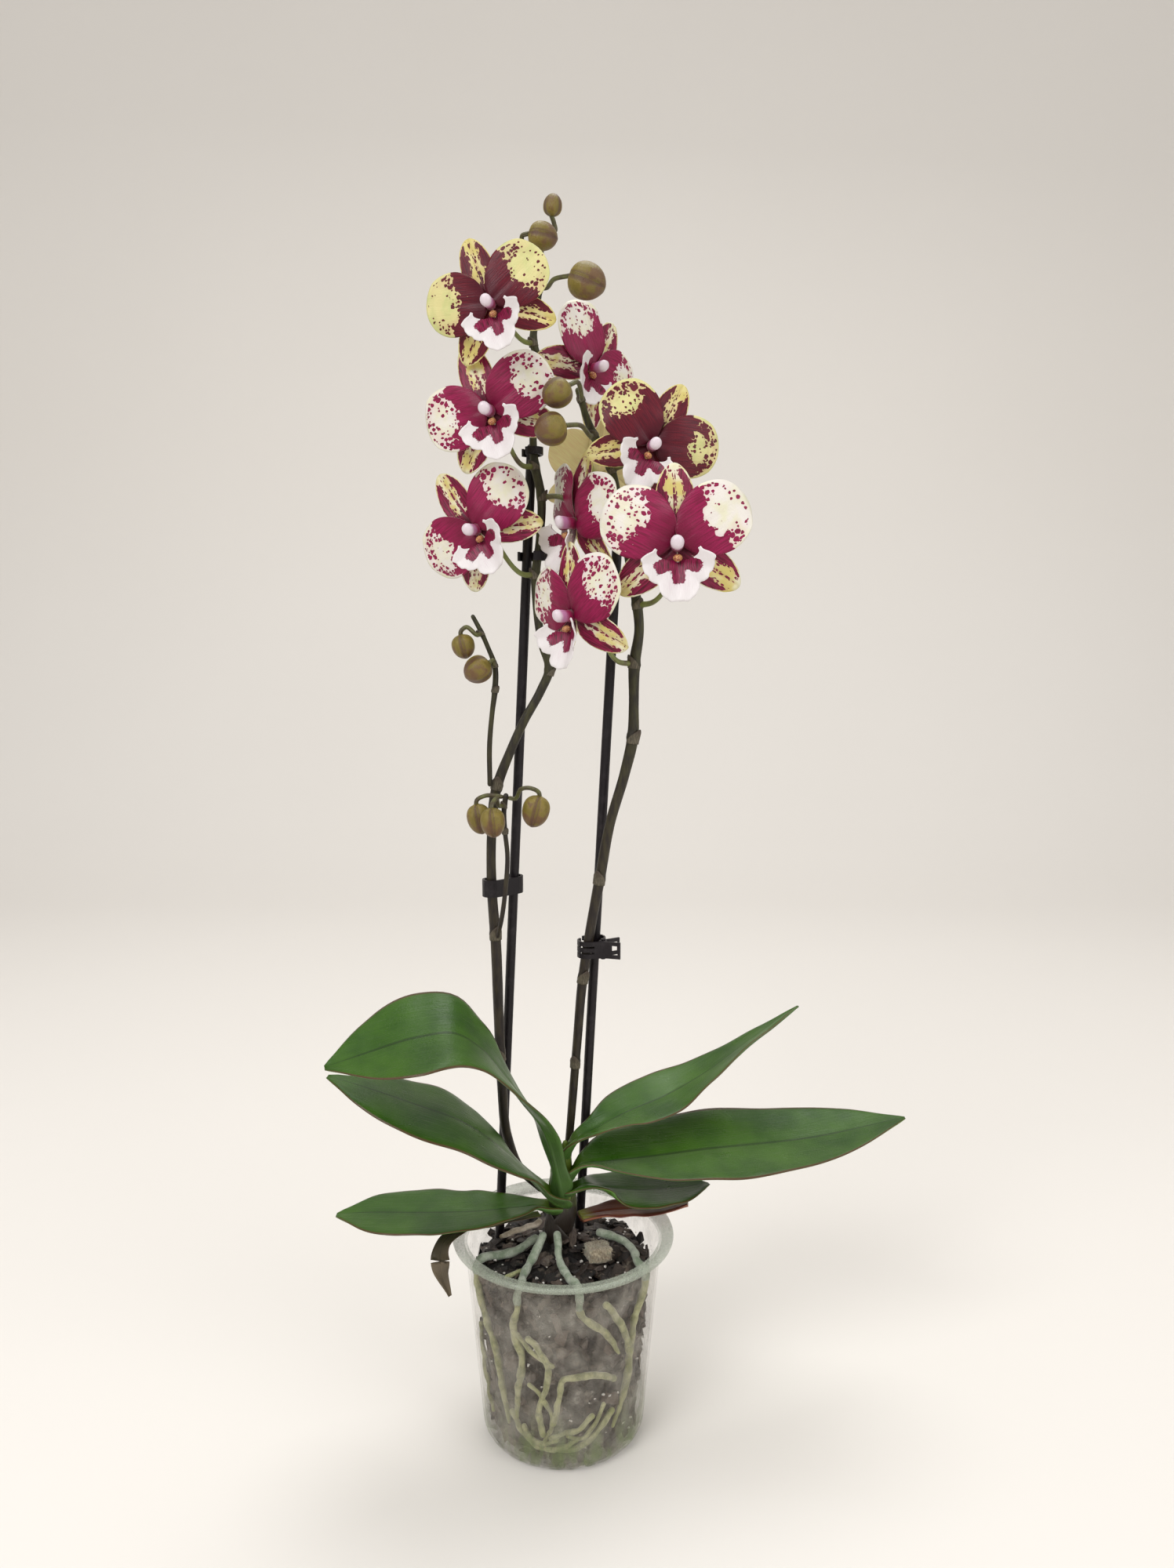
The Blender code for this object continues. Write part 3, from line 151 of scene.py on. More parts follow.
# Each flower: centre, azimuth it faces (degrees, 0 is -Y, positive towards +X), elevation, roll,
# size, the stem that it grows from with the height and plan direction where its pedicel leaves,
# and whether its petals have a yellow ground.
FLOWERS = {
    "flower_1": ((-0.0312, -0.038, 0.5862), -10, -8, 22, 0.88, ("left", 0.5778, -125), True),
    "flower_2": ((0.0156, 0.008, 0.5669), 42, -4, -40, 0.9, ("left", 0.5656, 20), False),
    "flower_3": ((-0.033, -0.027, 0.5408), -12, -6, 23, 0.95, ("left", 0.518, -135), False),
    "flower_4": ((0.0438, -0.0335, 0.5239), 6, -6, -29, 0.9, ("right", 0.516, -20), True),
    "flower_5": ((-0.0417, -0.011, 0.4872), -20, -10, 40, 0.96, ("left", 0.4642, -145), False),
    "flower_6": ((0.0075, -0.012, 0.4903), -62, -6, -12, 0.98, ("left", 0.5039, -10), False),
    "flower_7": ((0.0542, -0.052, 0.4776), -3, -4, 3, 1.04, ("right", 0.45, -40), False),
    "flower_8": ((0.006, -0.033, 0.4453), -50, -8, 8, 0.98, ("right", 0.4198, -150), False),
    "flower_9": ((0.0185, 0.034, 0.518), 165, -6, 10, 0.82, ("right", 0.525, 100), True),
}

# Flowers whose petals stand lower or higher than PETAL_RISE.
OWN_RISE = {"flower_1": 21.0, "flower_3": 12.0, "flower_5": 10.0, "flower_4": 26.0}

# Each bud: the stem it grows from with the height and plan direction where its pedicel leaves,
# the pedicel's points between, the bud's base and tip, and its radius.
BUDS = {
    "bud_1": (("left", 0.629, 0), [(-0.003, -0.0005, 0.6325)], (-0.004, -0.0015, 0.635),
              (-0.003, -0.002, 0.6455), 0.0046),
    "bud_2": (("left", 0.618, 180), [(-0.0175, -0.005, 0.6205), (-0.018, -0.007, 0.6245)],
              (-0.015, -0.0082, 0.6252), (-0.001, -0.008, 0.6225), 0.0068),
    "bud_3": (("left", 0.6009, -40), [(-0.003, -0.009, 0.604)], (0.005, -0.015, 0.6042),
              (0.0215, -0.0195, 0.5975), 0.0088),
    "bud_4": (("right", 0.546, -90), [(0.0085, -0.0335, 0.552)], (0.005, -0.0385, 0.5498),
              (-0.0068, -0.0398, 0.542), 0.007),
    "bud_5": (("right", 0.5307, -110), [(0.01, -0.033, 0.5325)], (0.0035, -0.042, 0.5312),
              (-0.011, -0.044, 0.5275), 0.0078),
    "bud_6": (("upper", 0.436, -120), [(-0.0475, -0.0095, 0.4388), (-0.05, -0.01, 0.4362)],
              (-0.05, -0.01, 0.4352), (-0.0472, -0.01, 0.4232), 0.0058),
    "bud_7": (("upper", 0.42, -90), [(-0.034, -0.012, 0.4225)], (-0.0355, -0.013, 0.4215),
              (-0.0475, -0.0145, 0.414), 0.007),
    "bud_8": (("lower", 0.353, 180), [(-0.039, -0.0115, 0.354), (-0.043, -0.012, 0.3515)],
              (-0.0432, -0.012, 0.35), (-0.04, -0.012, 0.3345), 0.0062),
    "bud_9": (("lower", 0.349, -120), [(-0.0325, -0.0205, 0.354), (-0.0342, -0.0238, 0.3515)],
              (-0.0345, -0.0245, 0.35), (-0.033, -0.0245, 0.335), 0.0062),
    "bud_10": (("lower", 0.353, 0), [(-0.02, -0.014, 0.358), (-0.015, -0.0155, 0.3585),
                                      (-0.011, -0.016, 0.356)],
               (-0.0108, -0.016, 0.3548), (-0.015, -0.016, 0.3388), 0.007),
}


# ---- Geometry helpers ---------------------------------------------------------------------

def unit(vector):
    return np.array(vector, float) / np.linalg.norm(vector)


def turns(count):
    """Angles spread evenly round a circle."""
    return np.linspace(0.0, 2 * math.pi, count, endpoint=False)


def polar(radius, angle, z):
    """A point at a distance and an angle from the pot's axis."""
    return (radius * math.cos(angle), radius * math.sin(angle), z)


def flat_out(degrees):
    """The level direction at an angle from +X."""
    return np.array(polar(1.0, math.radians(degrees), 0.0))


def smooth_step(low, high, value):
    """0 below low, 1 above high, smooth between."""
    share = min(max((value - low) / (high - low), 0.0), 1.0)
    return share * share * (3.0 - 2.0 * share)


def any_side(direction):
    """A direction across the given one."""
    guide = (0.0, 0.0, 1.0) if abs(unit(direction)[2]) < 0.8 else (1.0, 0.0, 0.0)
    return unit(np.cross(direction, guide))


def smooth_rows(rows, count):
    """Rows read evenly from one smooth curve through the given rows, which start with x, y, z."""
    rows = np.array(rows, float)
    steps = np.linalg.norm(np.diff(rows[:, :3], axis=0), axis=1)
    knots = np.concatenate([[0.0], np.cumsum(steps)])
    if len(rows) > 2:
        slopes = np.gradient(rows, knots, axis=0)
    else:
        slopes = np.array([(rows[1] - rows[0]) / knots[1]] * 2)
    result = []
    for t in np.linspace(0.0, knots[-1], count):
        i = min(int(np.searchsorted(knots, t, side="right")) - 1, len(rows) - 2)
        h = knots[i + 1] - knots[i]
        u = (t - knots[i]) / h
        result.append((2 * u ** 3 - 3 * u ** 2 + 1) * rows[i]
                      + (u ** 3 - 2 * u ** 2 + u) * h * slopes[i]
                      + (3 * u ** 2 - 2 * u ** 3) * rows[i + 1]
                      + (u ** 3 - u ** 2) * h * slopes[i + 1])
    return np.array(result)


def tube_rings(centres, radii, sides, first_side, ribs=0, rib_depth=0.0):
    """Rings of points round a path, carried along it without twisting."""
    centres = np.array(centres, float)
    side = np.array(first_side, float)
    rings = []
    for i, centre in enumerate(centres):
        tangent = unit(centres[min(i + 1, len(centres) - 1)] - centres[max(i - 1, 0)])
        side = unit(side - tangent * side.dot(tangent))
        other = np.cross(tangent, side)
        ring = []
        for a in turns(sides):
            r = radii[i] * (1.0 - rib_depth * abs(math.cos(ribs * a / 2)) ** 6)
            ring.append(centre + r * (math.cos(a) * side + math.sin(a) * other))
        rings.append(ring)
    return rings


class Shape:
    """Points and faces of one piece, with two notes on each point that its materials read.

    "grow" is (along, across or around, front side or random) and "flat" is a place in metres.
    """

    def __init__(self):
        self.verts, self.faces, self.looks, self.grow, self.flat = [], [], [], [], []

    def add(self, verts, faces, look=0, grow=None, flat=None):
        base = len(self.verts)
        self.verts += [tuple(v) for v in verts]
        self.faces += [tuple(base + i for i in face) for face in faces]
        self.looks += [look] * len(faces)
        self.grow += list(grow) if grow is not None else [(0.0, 0.0, 0.0)] * len(verts)
        self.flat += list(flat) if flat is not None else [tuple(v) for v in verts]

    def add_rings(self, rings, look=0, kind=0.0):
        """A closed body through rings of equal count."""
        sides, last = len(rings[0]), len(rings) - 1
        faces = [(k * sides + j, k * sides + (j + 1) % sides,
                  (k + 1) * sides + (j + 1) % sides, (k + 1) * sides + j)
                 for k in range(last) for j in range(sides)]
        faces.append(tuple(range(sides - 1, -1, -1)))
        faces.append(tuple(range(last * sides, last * sides + sides)))
        grow = [(k / last, j / sides, kind) for k in range(last + 1) for j in range(sides)]
        self.add([p for ring in rings for p in ring], faces, look, grow)

    def add_tube(self, rows, count, sides, look=0, kind=0.0, blunt=True):
        """A round solid along a smooth path of x, y, z, radius rows, with rounded ends."""
        path = smooth_rows(rows, count)
        if blunt:
            for end, inner in ((0, 1), (-1, -2)):
                out = unit(path[end, :3] - path[inner, :3]) * path[end, 3]
                caps = [np.append(path[end, :3] + out * far, path[end, 3] * width)
                        for far, width in ((0.5, 0.87), (0.85, 0.52), (1.0, 0.12))]
                path = np.vstack([caps[::-1], path] if end == 0 else [path, caps])
        self.add_rings(tube_rings(path[:, :3], path[:, 3], sides,
                                  any_side(path[4, :3] - path[3, :3])),
                       look, kind)

    def add_sheet(self, middle, normals, thickness, look=0, grow=None, flat=None, front=1.0):
        """Close a grid of points into a thin solid; thickness has one value for each point.

        front is the third number of "grow" on the front side; it is 0 on the back.
        """
        middle = np.array(middle, float)
        rows, cols = middle.shape[:2]
        offset = np.array(normals) * np.array(thickness)[:, :, None] * 0.5
        verts = list((middle + offset).reshape(-1, 3)) + list((middle - offset).reshape(-1, 3))
        base = rows * cols
        faces = []
        for i in range(rows - 1):
            for j in range(cols - 1):
                a, b = i * cols + j, (i + 1) * cols + j
                faces.append((a, a + 1, b + 1, b))
                faces.append((base + a, base + b, base + b + 1, base + a + 1))
        border = list(range(cols)) + [i * cols + cols - 1 for i in range(1, rows)]
        border += [(rows - 1) * cols + j for j in range(cols - 2, -1, -1)]
        border += [i * cols for i in range(rows - 2, 0, -1)]
        for a, b in zip(border, border[1:] + border[:1]):
            faces.append((a, base + a, base + b, b))
        pairs = [tuple(g) for g in np.array(grow, float).reshape(-1, 2)]
        sides = [(*g, front) for g in pairs] + [(*g, 0.0) for g in pairs]
        self.add(verts, faces, look, sides, None if flat is None else list(flat) * 2)

    def move(self, matrix):
        """Put every point so far through a matrix."""
        self.verts = [tuple(matrix @ Vector(v)) for v in self.verts]

    def finish(self, name, looks, stands_for=(), body="root", sharp=180.0):
        """Make the object, with its notes, materials, body and the CAD nodes it shows."""
        mesh = bpy.data.meshes.new(name)
        mesh.from_pydata(self.verts, [], self.faces)
        mesh.polygons.foreach_set("material_index", self.looks)
        for note, values in (("grow", self.grow), ("flat", self.flat)):
            attribute = mesh.attributes.new(note, "FLOAT_VECTOR", "POINT")
            attribute.data.foreach_set("vector", np.array(values, np.float32).ravel())
        bm = bmesh.new()
        bm.from_mesh(mesh)
        bmesh.ops.recalc_face_normals(bm, faces=bm.faces)
        bm.to_mesh(mesh)
        bm.free()
        mesh.shade_smooth()
        if sharp < 180.0:
            mesh.set_sharp_from_angle(angle=math.radians(sharp))
        for look in looks:
            mesh.materials.append(look)
        obj = bpy.data.objects.new(name, mesh)
        bpy.context.scene.collection.objects.link(obj)
        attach(obj, body)
        if stands_for:
            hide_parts(*stands_for)
        return obj


def grid_normals(points):
    """Unit normals of a grid of points, from its two directions."""
    points = np.array(points, float)
    normals = np.cross(np.gradient(points, axis=0), np.gradient(points, axis=1))
    return normals / np.maximum(np.linalg.norm(normals, axis=2), 1e-12)[:, :, None]


def point_grid(place, rows, cols):
    """Points of a sheet with their notes: place gives the point at (0 to 1, -1 to 1)."""
    spots = [[(t, v) for v in np.linspace(-1.0, 1.0, cols)] for t in np.linspace(0.0, 1.0, rows)]
    return [[place(t, v) for t, v in row] for row in spots], spots


def thin_edges(rows, cols, thickness, share):
    """A sheet's thickness at each point, down to this share along its sides and its tip."""
    thick = np.full((rows, cols), thickness)
    thick[:, (0, -1)] *= share
    thick[-1] *= share
    return thick


DISC_FULLNESS = 0.46         # below 0.5, so that the four corners of the grid stay open


def disc_grid(count):
    """A square grid of points spread over a unit disc, as two arrays."""
    a, b = np.meshgrid(np.linspace(-1, 1, count), np.linspace(-1, 1, count), indexing="ij")
    return a * np.sqrt(1 - DISC_FULLNESS * b ** 2), b * np.sqrt(1 - DISC_FULLNESS * a ** 2)


def stem_place(stem, height):
    """Centre, direction and radius of a stem at a height."""
    rows = smooth_rows(STEMS[stem], 200)
    k = int(np.argmin(abs(rows[:, 2] - height)))
    return rows[k, :3], unit(rows[min(k + 1, len(rows) - 1), :3] - rows[k - 1, :3]), rows[k, 3]


def stem_exit(stem, height, plan_degrees, reach):
    """A point beside a stem at a height, this far out from its surface in a plan direction."""
    centre, along, radius = stem_place(stem, height)
    out = flat_out(plan_degrees)
    return centre + unit(out - along * out.dot(along)) * (radius + reach)


# ---- Materials ----------------------------------------------------------------------------

def scaled(colour, factor, plus=0.0):
    return tuple(c * factor + plus for c in colour)


class Value:
    """A number or vector inside a material; arithmetic on it adds the nodes that do it."""

    def __init__(self, look, socket):
        self.look, self.socket = look, socket

    def __add__(self, other):
        return self.look.math("ADD", self, other)

    def __sub__(self, other):
        return self.look.math("SUBTRACT", self, other)

    def __mul__(self, other):
        return self.look.math("MULTIPLY", self, other)

    def __pow__(self, other):
        return self.look.math("POWER", self, other)

    def __abs__(self):
        return self.look.math("ABSOLUTE", self)


class Look:
    """A Principled material, with short ways to add the nodes that feed it."""

    def __init__(self, name, roughness=0.5, **uniform):
        self.material = bpy.data.materials.new(name)
        self.material.use_nodes = True
        self.tree = self.material.node_tree
        self.shader = self.tree.nodes["Principled BSDF"]
        self.shader.inputs["Roughness"].default_value = roughness
        for socket, value in uniform.items():
            self.shader.inputs[socket.replace("_", " ")].default_value = value

    def node(self, kind, sockets, out=0, **settings):
        made = self.tree.nodes.new("ShaderNode" + kind)
        for key, value in settings.items():
            setattr(made, key, value)
        for key, value in sockets.items():
            self.feed(made.inputs[key], value)
        return Value(self, made.outputs[out])

    def feed(self, socket, value):
        if isinstance(value, Value):
            self.tree.links.new(value.socket, socket)
        elif isinstance(value, tuple) and socket.type == "RGBA":
            socket.default_value = (*value, 1.0)
        else:
            socket.default_value = value

    def set(self, **sockets):
        for key, value in sockets.items():
            self.feed(self.shader.inputs[key.replace("_", " ")], value)
        return self.material

    def note(self, name):
        return self.node("Attribute", {}, 1, attribute_name=name)

    def grow(self):
        return self.split(self.note("grow"))

    def split(self, vector):
        made = self.tree.nodes.new("ShaderNodeSeparateXYZ")
        self.feed(made.inputs[0], vector)
        return [Value(self, output) for output in made.outputs]

    def place(self):
        return self.node("TexCoord", {}, 3)

    def math(self, operation, a, b=0.0):
        return self.node("Math", {0: a, 1: b}, operation=operation)

    def most(self, a, b):
        return self.math("MAXIMUM", a, b)

    def stretch(self, vector, x, y, z):
        return self.node("VectorMath", {0: vector, 1: (x, y, z)}, operation="MULTIPLY")

    def smooth(self, value, low, high, to_low=0.0, to_high=1.0):
        """to_low up to the value low, to_high past the value high, smooth between."""
        return self.node("MapRange", {"Value": value, "From Min": low, "From Max": high,
                                      "To Min": to_low, "To Max": to_high},
                         interpolation_type="SMOOTHSTEP")

    def mix(self, factor, a, b):
        return self.node("Mix", {0: factor, 6: a, 7: b}, 2, data_type="RGBA")

    def fade(self, value, low, high, a, b):
        """Colour a up to the value low, colour b past the value high."""
        return self.mix(self.smooth(value, low, high), a, b)

    def noise(self, vector, scale, detail=3.0, roughness=0.5):
        return self.node("TexNoise", {"Vector": vector, "Scale": scale, "Detail": detail,
                                      "Roughness": roughness})

    def cells(self, vector, scale, out=0, dimensions="3D"):
        return self.node("TexVoronoi", {"Vector": vector, "Scale": scale}, out,
                         voronoi_dimensions=dimensions)

    def bump(self, height, distance, strength=1.0):
        """Feed a height between 0 and 1 to the normal; distance is its depth in metres."""
        self.feed(self.shader.inputs["Normal"],
                  self.node("Bump", {"Height": height, "Distance": distance, "Strength": strength}))


CRIMSON = (0.12, 0.003, 0.013)
DARK_CRIMSON = (0.06, 0.001, 0.009)
MAGENTA = (0.27, 0.004, 0.062)
DARK_MAGENTA = (0.15, 0.002, 0.03)
YELLOW_GROUND = (0.64, 0.58, 0.27)
GREEN_GROUND = (0.54, 0.55, 0.23)
WHITE_GROUND = (0.72, 0.68, 0.63)
CREAM_GROUND = (0.69, 0.67, 0.5)
SEPAL_GROUND = (0.56, 0.47, 0.15)
PALE_BACK = (0.6, 0.54, 0.26)
CREAM_BACK = (0.74, 0.69, 0.56)


def tepal_look(name, grounds, spots, back, sepal):
    """A petal or sepal face: solid at its base, breaking into spots, with a pale rim."""
    look = Look(name, roughness=0.42, Specular_IOR_Level=0.3)
    a, b, front = look.grow()
    flat = look.note("flat")
    rim = look.split(flat)[2]
    vigour = front - 1.0
    across = b * b
    patch = look.noise(flat, 110.0, 2.0) - 0.5
    if sepal:
        edge = look.smooth(abs(b) + patch * 0.9, 0.1, 0.62)
        base = look.smooth(a + patch * 0.9, -0.1, -0.62)
        row = look.smooth(look.math("COSINE", b * 11.0), -0.3, 0.7)
        inner = row * look.smooth(a, 0.9, -0.5, 0.4, 0.8)
        density = look.most(look.most(edge, base), inner)
        density = density * look.smooth(a, 1.1, 0.72)
        rim_low, rim_high = 0.00005, 0.0005
        spread = look.stretch(flat, 0.5, 1.0, 0.0)
        scale = 620.0
    else:
        lean = a + across * -0.62 + patch * 0.8
        reach = vigour * 0.45 - 0.16
        base = look.smooth(lean, reach, reach - 0.55)
        from_patch = (a - 0.22) ** 2.0 + across * 0.85
        ring = look.smooth(from_patch + patch * 0.9, 0.02, 0.34)
        ring = ring * look.smooth(a, 1.1, -0.3, vigour * 0.6 + 0.12, 0.86)
        density = look.most(look.most(base, ring), vigour * 0.14 + 0.03)
        rim = look.most(rim, look.smooth(a, 0.25, -0.3, 0.0, 0.003))
        rim_low, rim_high = 0.0004, 0.0016
        spread = look.stretch(flat, 0.85, 1.0, 0.0)
        scale = 400.0
    density = density * look.smooth(rim, rim_low, rim_high)
    wander = look.node("TexNoise", {"Vector": flat, "Scale": 700.0, "Detail": 1.0}, 1)
    wander = look.stretch(wander, 0.0008, 0.0008, 0.0)
    spread = look.node("VectorMath", {0: spread, 1: wander}, operation="ADD")
    spot = 0.0
    for cell_scale, share in ((scale, 1.0), (scale * 1.7, 0.6)):
        distance = look.cells(spread, cell_scale, 0, "2D")
        chance, other, _ = look.split(look.cells(spread, cell_scale, 1, "2D"))
        here = look.smooth(density * (1.3 * share) - chance, -0.04, 0.06)
        size = density * 0.3 + other * 0.22 + 0.14
        size = size * here + look.smooth(density, 0.74, 0.94, 0.0, 0.7)
        dot = look.smooth(size - distance, -0.02, 0.05)
        spot = look.most(spot, dot)
    veins = look.noise(look.stretch(flat, 120.0, 1500.0, 0.0), 1.0, 3.0)
    ground = look.fade(patch, -0.15, 0.15, grounds[0], grounds[1])
    ground = look.mix(look.smooth(density, 0.1, 0.75) * 0.3, ground, spots[2])
    colour = look.fade(veins, 0.35, 0.7, spots[0], spots[1])
    colour = look.fade(a, -0.3, -1.0, colour, spots[1])
    face = look.mix(spot, ground, colour)
    behind = look.mix(look.smooth(veins, 0.3, 0.8, 0.0, 0.4), back, spots[2])
    look.bump(veins * 0.6 + look.noise(flat, 1800.0) * 0.4, 0.00025)
    return look.set(Base_Color=look.fade(front, 0.45, 0.55, behind, face))


def lip_look():
    """A white lip with a three-pointed magenta flame at the throat and faint lilac veins."""
    look = Look("lip_white", roughness=0.38, Specular_IOR_Level=0.35)
    turn, front = look.grow()[1:]
    flat = look.note("flat")
    radius = look.split(flat)[2]
    ragged = (look.noise(look.stretch(flat, 900.0, 900.0, 0.0), 1.0, 2.0) - 0.5) * 0.0034
    lobes = look.smooth(look.math("COSINE", turn * 5.2), -1.0, 0.4, 0.0064, 0.0108)
    flame = look.smooth(lobes + ragged - radius, -0.0003, 0.0003) * look.smooth(front, 0.3, 0.6)
    veins = look.noise(look.stretch(flat, 2600.0, 220.0, 1.0), 1.0, 2.0)
    tint = look.smooth(veins, 0.45, 0.75) * look.smooth(radius, 0.017, 0.008)
    tint = tint * look.smooth(abs(turn), 0.9, 0.2)
    white = look.mix(tint * 0.4, (0.7, 0.66, 0.66), (0.56, 0.32, 0.46))
    look.bump(veins, 0.0002)
    return look.set(Base_Color=look.mix(flame, white,
                                        look.fade(veins, 0.3, 0.7, MAGENTA, DARK_CRIMSON)))


def column_look():
    """A white cap that turns lilac, then magenta towards the throat."""
    look = Look("column_white", roughness=0.34, Sheen_Weight=0.1)
    along = look.grow()[0]
    mottle = look.noise(look.note("flat"), 900.0)
    pale = look.fade(along, 0.62, 0.4, (0.66, 0.57, 0.62), (0.5, 0.2, 0.38))
    look.bump(mottle, 0.0002)
    return look.set(Base_Color=look.fade(along + mottle * 0.1, 0.4, 0.2, pale, MAGENTA))


def callus_look():
    look = Look("callus_tan", roughness=0.4)
    mottle = look.noise(look.note("flat"), 2200.0)
    look.bump(mottle, 0.0003)
    return look.set(Base_Color=look.fade(mottle, 0.4, 0.6, (0.62, 0.36, 0.12), (0.25, 0.03, 0.04)))


def stalk_look():
    """Flower stalks: green below, flushed purple."""
    look = Look("flower_stalk", roughness=0.42)
    flush = look.noise(look.place(), 160.0, 3.0)
    along = look.grow()[0]
    colour = look.fade(flush, 0.42, 0.7, (0.155, 0.18, 0.045), (0.085, 0.062, 0.03))
    look.bump(look.noise(look.place(), 1500.0), 0.0003)
    return look.set(Base_Color=look.fade(along, 0.75, 0.1, colour, (0.3, 0.31, 0.11)))


def bud_look():
    """Olive buds with darker seams and a purple flush at the tip."""
    look = Look("bud_olive", roughness=0.38, Specular_IOR_Level=0.45)
    along, around, kind = look.grow()
    place = look.place()
    mottle = look.noise(place, 240.0, 4.0)
    seam = abs(look.math("COSINE", around * (3 * math.pi)))
    seam = look.smooth(seam, 0.86, 0.995)
    colour = look.fade(mottle, 0.35, 0.65, (0.15, 0.11, 0.012), (0.215, 0.16, 0.024))
    flush = look.smooth(mottle + along * 0.3, 0.58, 0.8) * 0.8
    colour = look.mix(flush, colour, (0.11, 0.045, 0.024))
    colour = look.mix(seam * 0.75, colour, (0.075, 0.03, 0.018))
    stalk = look.fade(mottle, 0.3, 0.7, (0.11, 0.115, 0.03), (0.06, 0.042, 0.02))
    look.bump(look.noise(place, 2200.0) + seam * -0.6, 0.0003)
    return look.set(Base_Color=look.mix(kind, stalk, colour))


def stem_look():
    """Spikes: dark purple-brown low on the plant, greener towards the flowers."""
    look = Look("spike_skin", roughness=0.42, Specular_IOR_Level=0.35)
    place = look.place()
    height = look.split(place)[2]
    mottle = look.noise(look.stretch(place, 1.0, 1.0, 0.25), 420.0, 4.0)
    low = look.fade(mottle, 0.35, 0.65, (0.014, 0.009, 0.007), (0.03, 0.022, 0.011))
    high = look.fade(mottle, 0.35, 0.65, (0.022, 0.02, 0.009), (0.05, 0.05, 0.015))
    look.bump(look.noise(look.stretch(place, 1.0, 1.0, 0.12), 2600.0, 3.0), 0.0003)
    return look.set(Base_Color=look.fade(height + mottle * 0.06, 0.3, 0.56, low, high))


def bract_look():
    """The small dry scales at the joints of a spike."""
    look = Look("bract_scale", roughness=0.6)
    along = look.grow()[0]
    streaks = look.noise(look.stretch(look.place(), 1.0, 1.0, 0.15), 2400.0, 3.0)
    colour = look.fade(streaks, 0.35, 0.65, (0.05, 0.04, 0.024), (0.12, 0.1, 0.064))
    look.bump(streaks, 0.0004)
    return look.set(Base_Color=look.fade(along, 0.4, 1.0, colour, (0.045, 0.028, 0.018)))


def leaf_look(name, dark, light, edge_colour, roughness):
    """A glossy blade with long veins, painted shade as a dark line in the midrib groove, and a thin
    coloured edge.
    """
    look = Look(name, roughness=roughness, Specular_IOR_Level=0.28, Coat_Weight=0.05,
                Coat_Roughness=0.2)
    along, across, side = look.grow()
    flat = look.note("flat")
    place = look.place()
    off = abs(across)
    veins = look.noise(look.stretch(flat, 45.0, 1500.0, 0.0), 1.0, 3.0)
    mottle = look.noise(place, 34.0, 3.0)
    colour = look.fade(mottle, 0.3, 0.7, dark, light)
    colour = look.mix(look.smooth(veins, 0.4, 0.7) * 0.3, colour, light)
    base = look.smooth(along, 0.16, 0.0)
    colour = look.mix(base * 0.65, colour, (0.15, 0.205, 0.025))
    # painted shade: a near-black line down the midrib groove
    rib = look.smooth(off, 0.05, 0.01)
    colour = look.mix(rib * 0.65, colour, scaled(dark, 0.35))
    edge = look.smooth(off + mottle * 0.05, 0.955, 1.015)
    colour = look.mix(edge * 0.85, colour, edge_colour)
    under = look.fade(mottle, 0.35, 0.65, scaled(light, 1.5, 0.02),
                      scaled(light, 0.8, 0.03))
    colour = look.fade(side, 0.55, 0.45, colour, under)
    specks = look.smooth(look.cells(place, 230.0), 0.1, 0.04)
    colour = look.mix(specks * 0.12, colour, (0.2, 0.2, 0.1))
    look.bump(veins + look.noise(place, 900.0) * 0.5, 0.0004, 0.6)
    gloss = look.smooth(look.noise(place, 60.0, 4.0), 0.3, 0.7, roughness - 0.07, roughness + 0.1)
    return look.set(Base_Color=colour, Roughness=gloss)


def crown_look():
    """Yellow-green leaf bases above; below, brown dried sheaths darkened to near black with painted
    shade under the leaves.
    """
    look = Look("crown_green", roughness=0.45)
    place = look.place()
    streaks = look.noise(look.stretch(place, 1.0, 1.0, 0.1), 900.0, 3.0)
    mottle = look.noise(place, 120.0, 3.0)
    colour = look.fade(streaks, 0.35, 0.65, (0.06, 0.12, 0.008), (0.15, 0.2, 0.02))
    height = look.split(place)[2] + (mottle - 0.5) * 0.02
    # painted shade: the crown's foot below the leaves turns near-black brown
    colour = look.fade(height, 0.138, 0.126, colour, (0.018, 0.012, 0.008))
    look.bump(streaks, 0.0005)
    return look.set(Base_Color=colour)


def root_look(name, skin, other, tip):
    """Velvety root skin with paler bands and darker specks."""
    look = Look(name, roughness=0.66, Sheen_Weight=0.25)
    place = look.place()
    along = look.grow()[0]
    mottle = look.noise(place, 210.0, 4.0)
    fine = look.noise(place, 1600.0, 3.0)
    colour = look.fade(mottle, 0.35, 0.65, skin, other)
    colour = look.mix(look.smooth(fine, 0.58, 0.72) * 0.5, colour, scaled(skin, 0.35))
    look.bump(fine + mottle, 0.0006)
    return look.set(Base_Color=look.fade(along, 0.88, 0.98, colour, tip))


def bark_look(name, dark, light):
    """Rough bark: long grain, damp dark patches and pale dusty edges."""
    look = Look(name, roughness=0.72)
    place = look.place()
    chance = look.grow()[2]
    grain = look.noise(look.stretch(place, 1.0, 0.35, 1.0), 700.0, 5.0, 0.65)
    patch = look.noise(place, 130.0, 3.0)
    colour = look.fade(chance * 0.5 + grain * 0.5, 0.25, 0.8, dark, light)
    colour = look.mix(look.smooth(patch, 0.56, 0.7) * 0.6, colour, (0.2, 0.165, 0.13))
    look.bump(grain, 0.0012)
    wet = look.smooth(look.noise(place, 60.0, 2.0), 0.4, 0.6, 0.4, 0.85)
    return look.set(Base_Color=colour, Roughness=wet)


def speck_look():
    look = Look("white_specks", roughness=0.8)
    grain = look.noise(look.place(), 1500.0, 4.0)
    look.bump(grain, 0.0008)
    return look.set(Base_Color=look.mix(grain, (0.52, 0.48, 0.42), (0.8, 0.78, 0.74)))


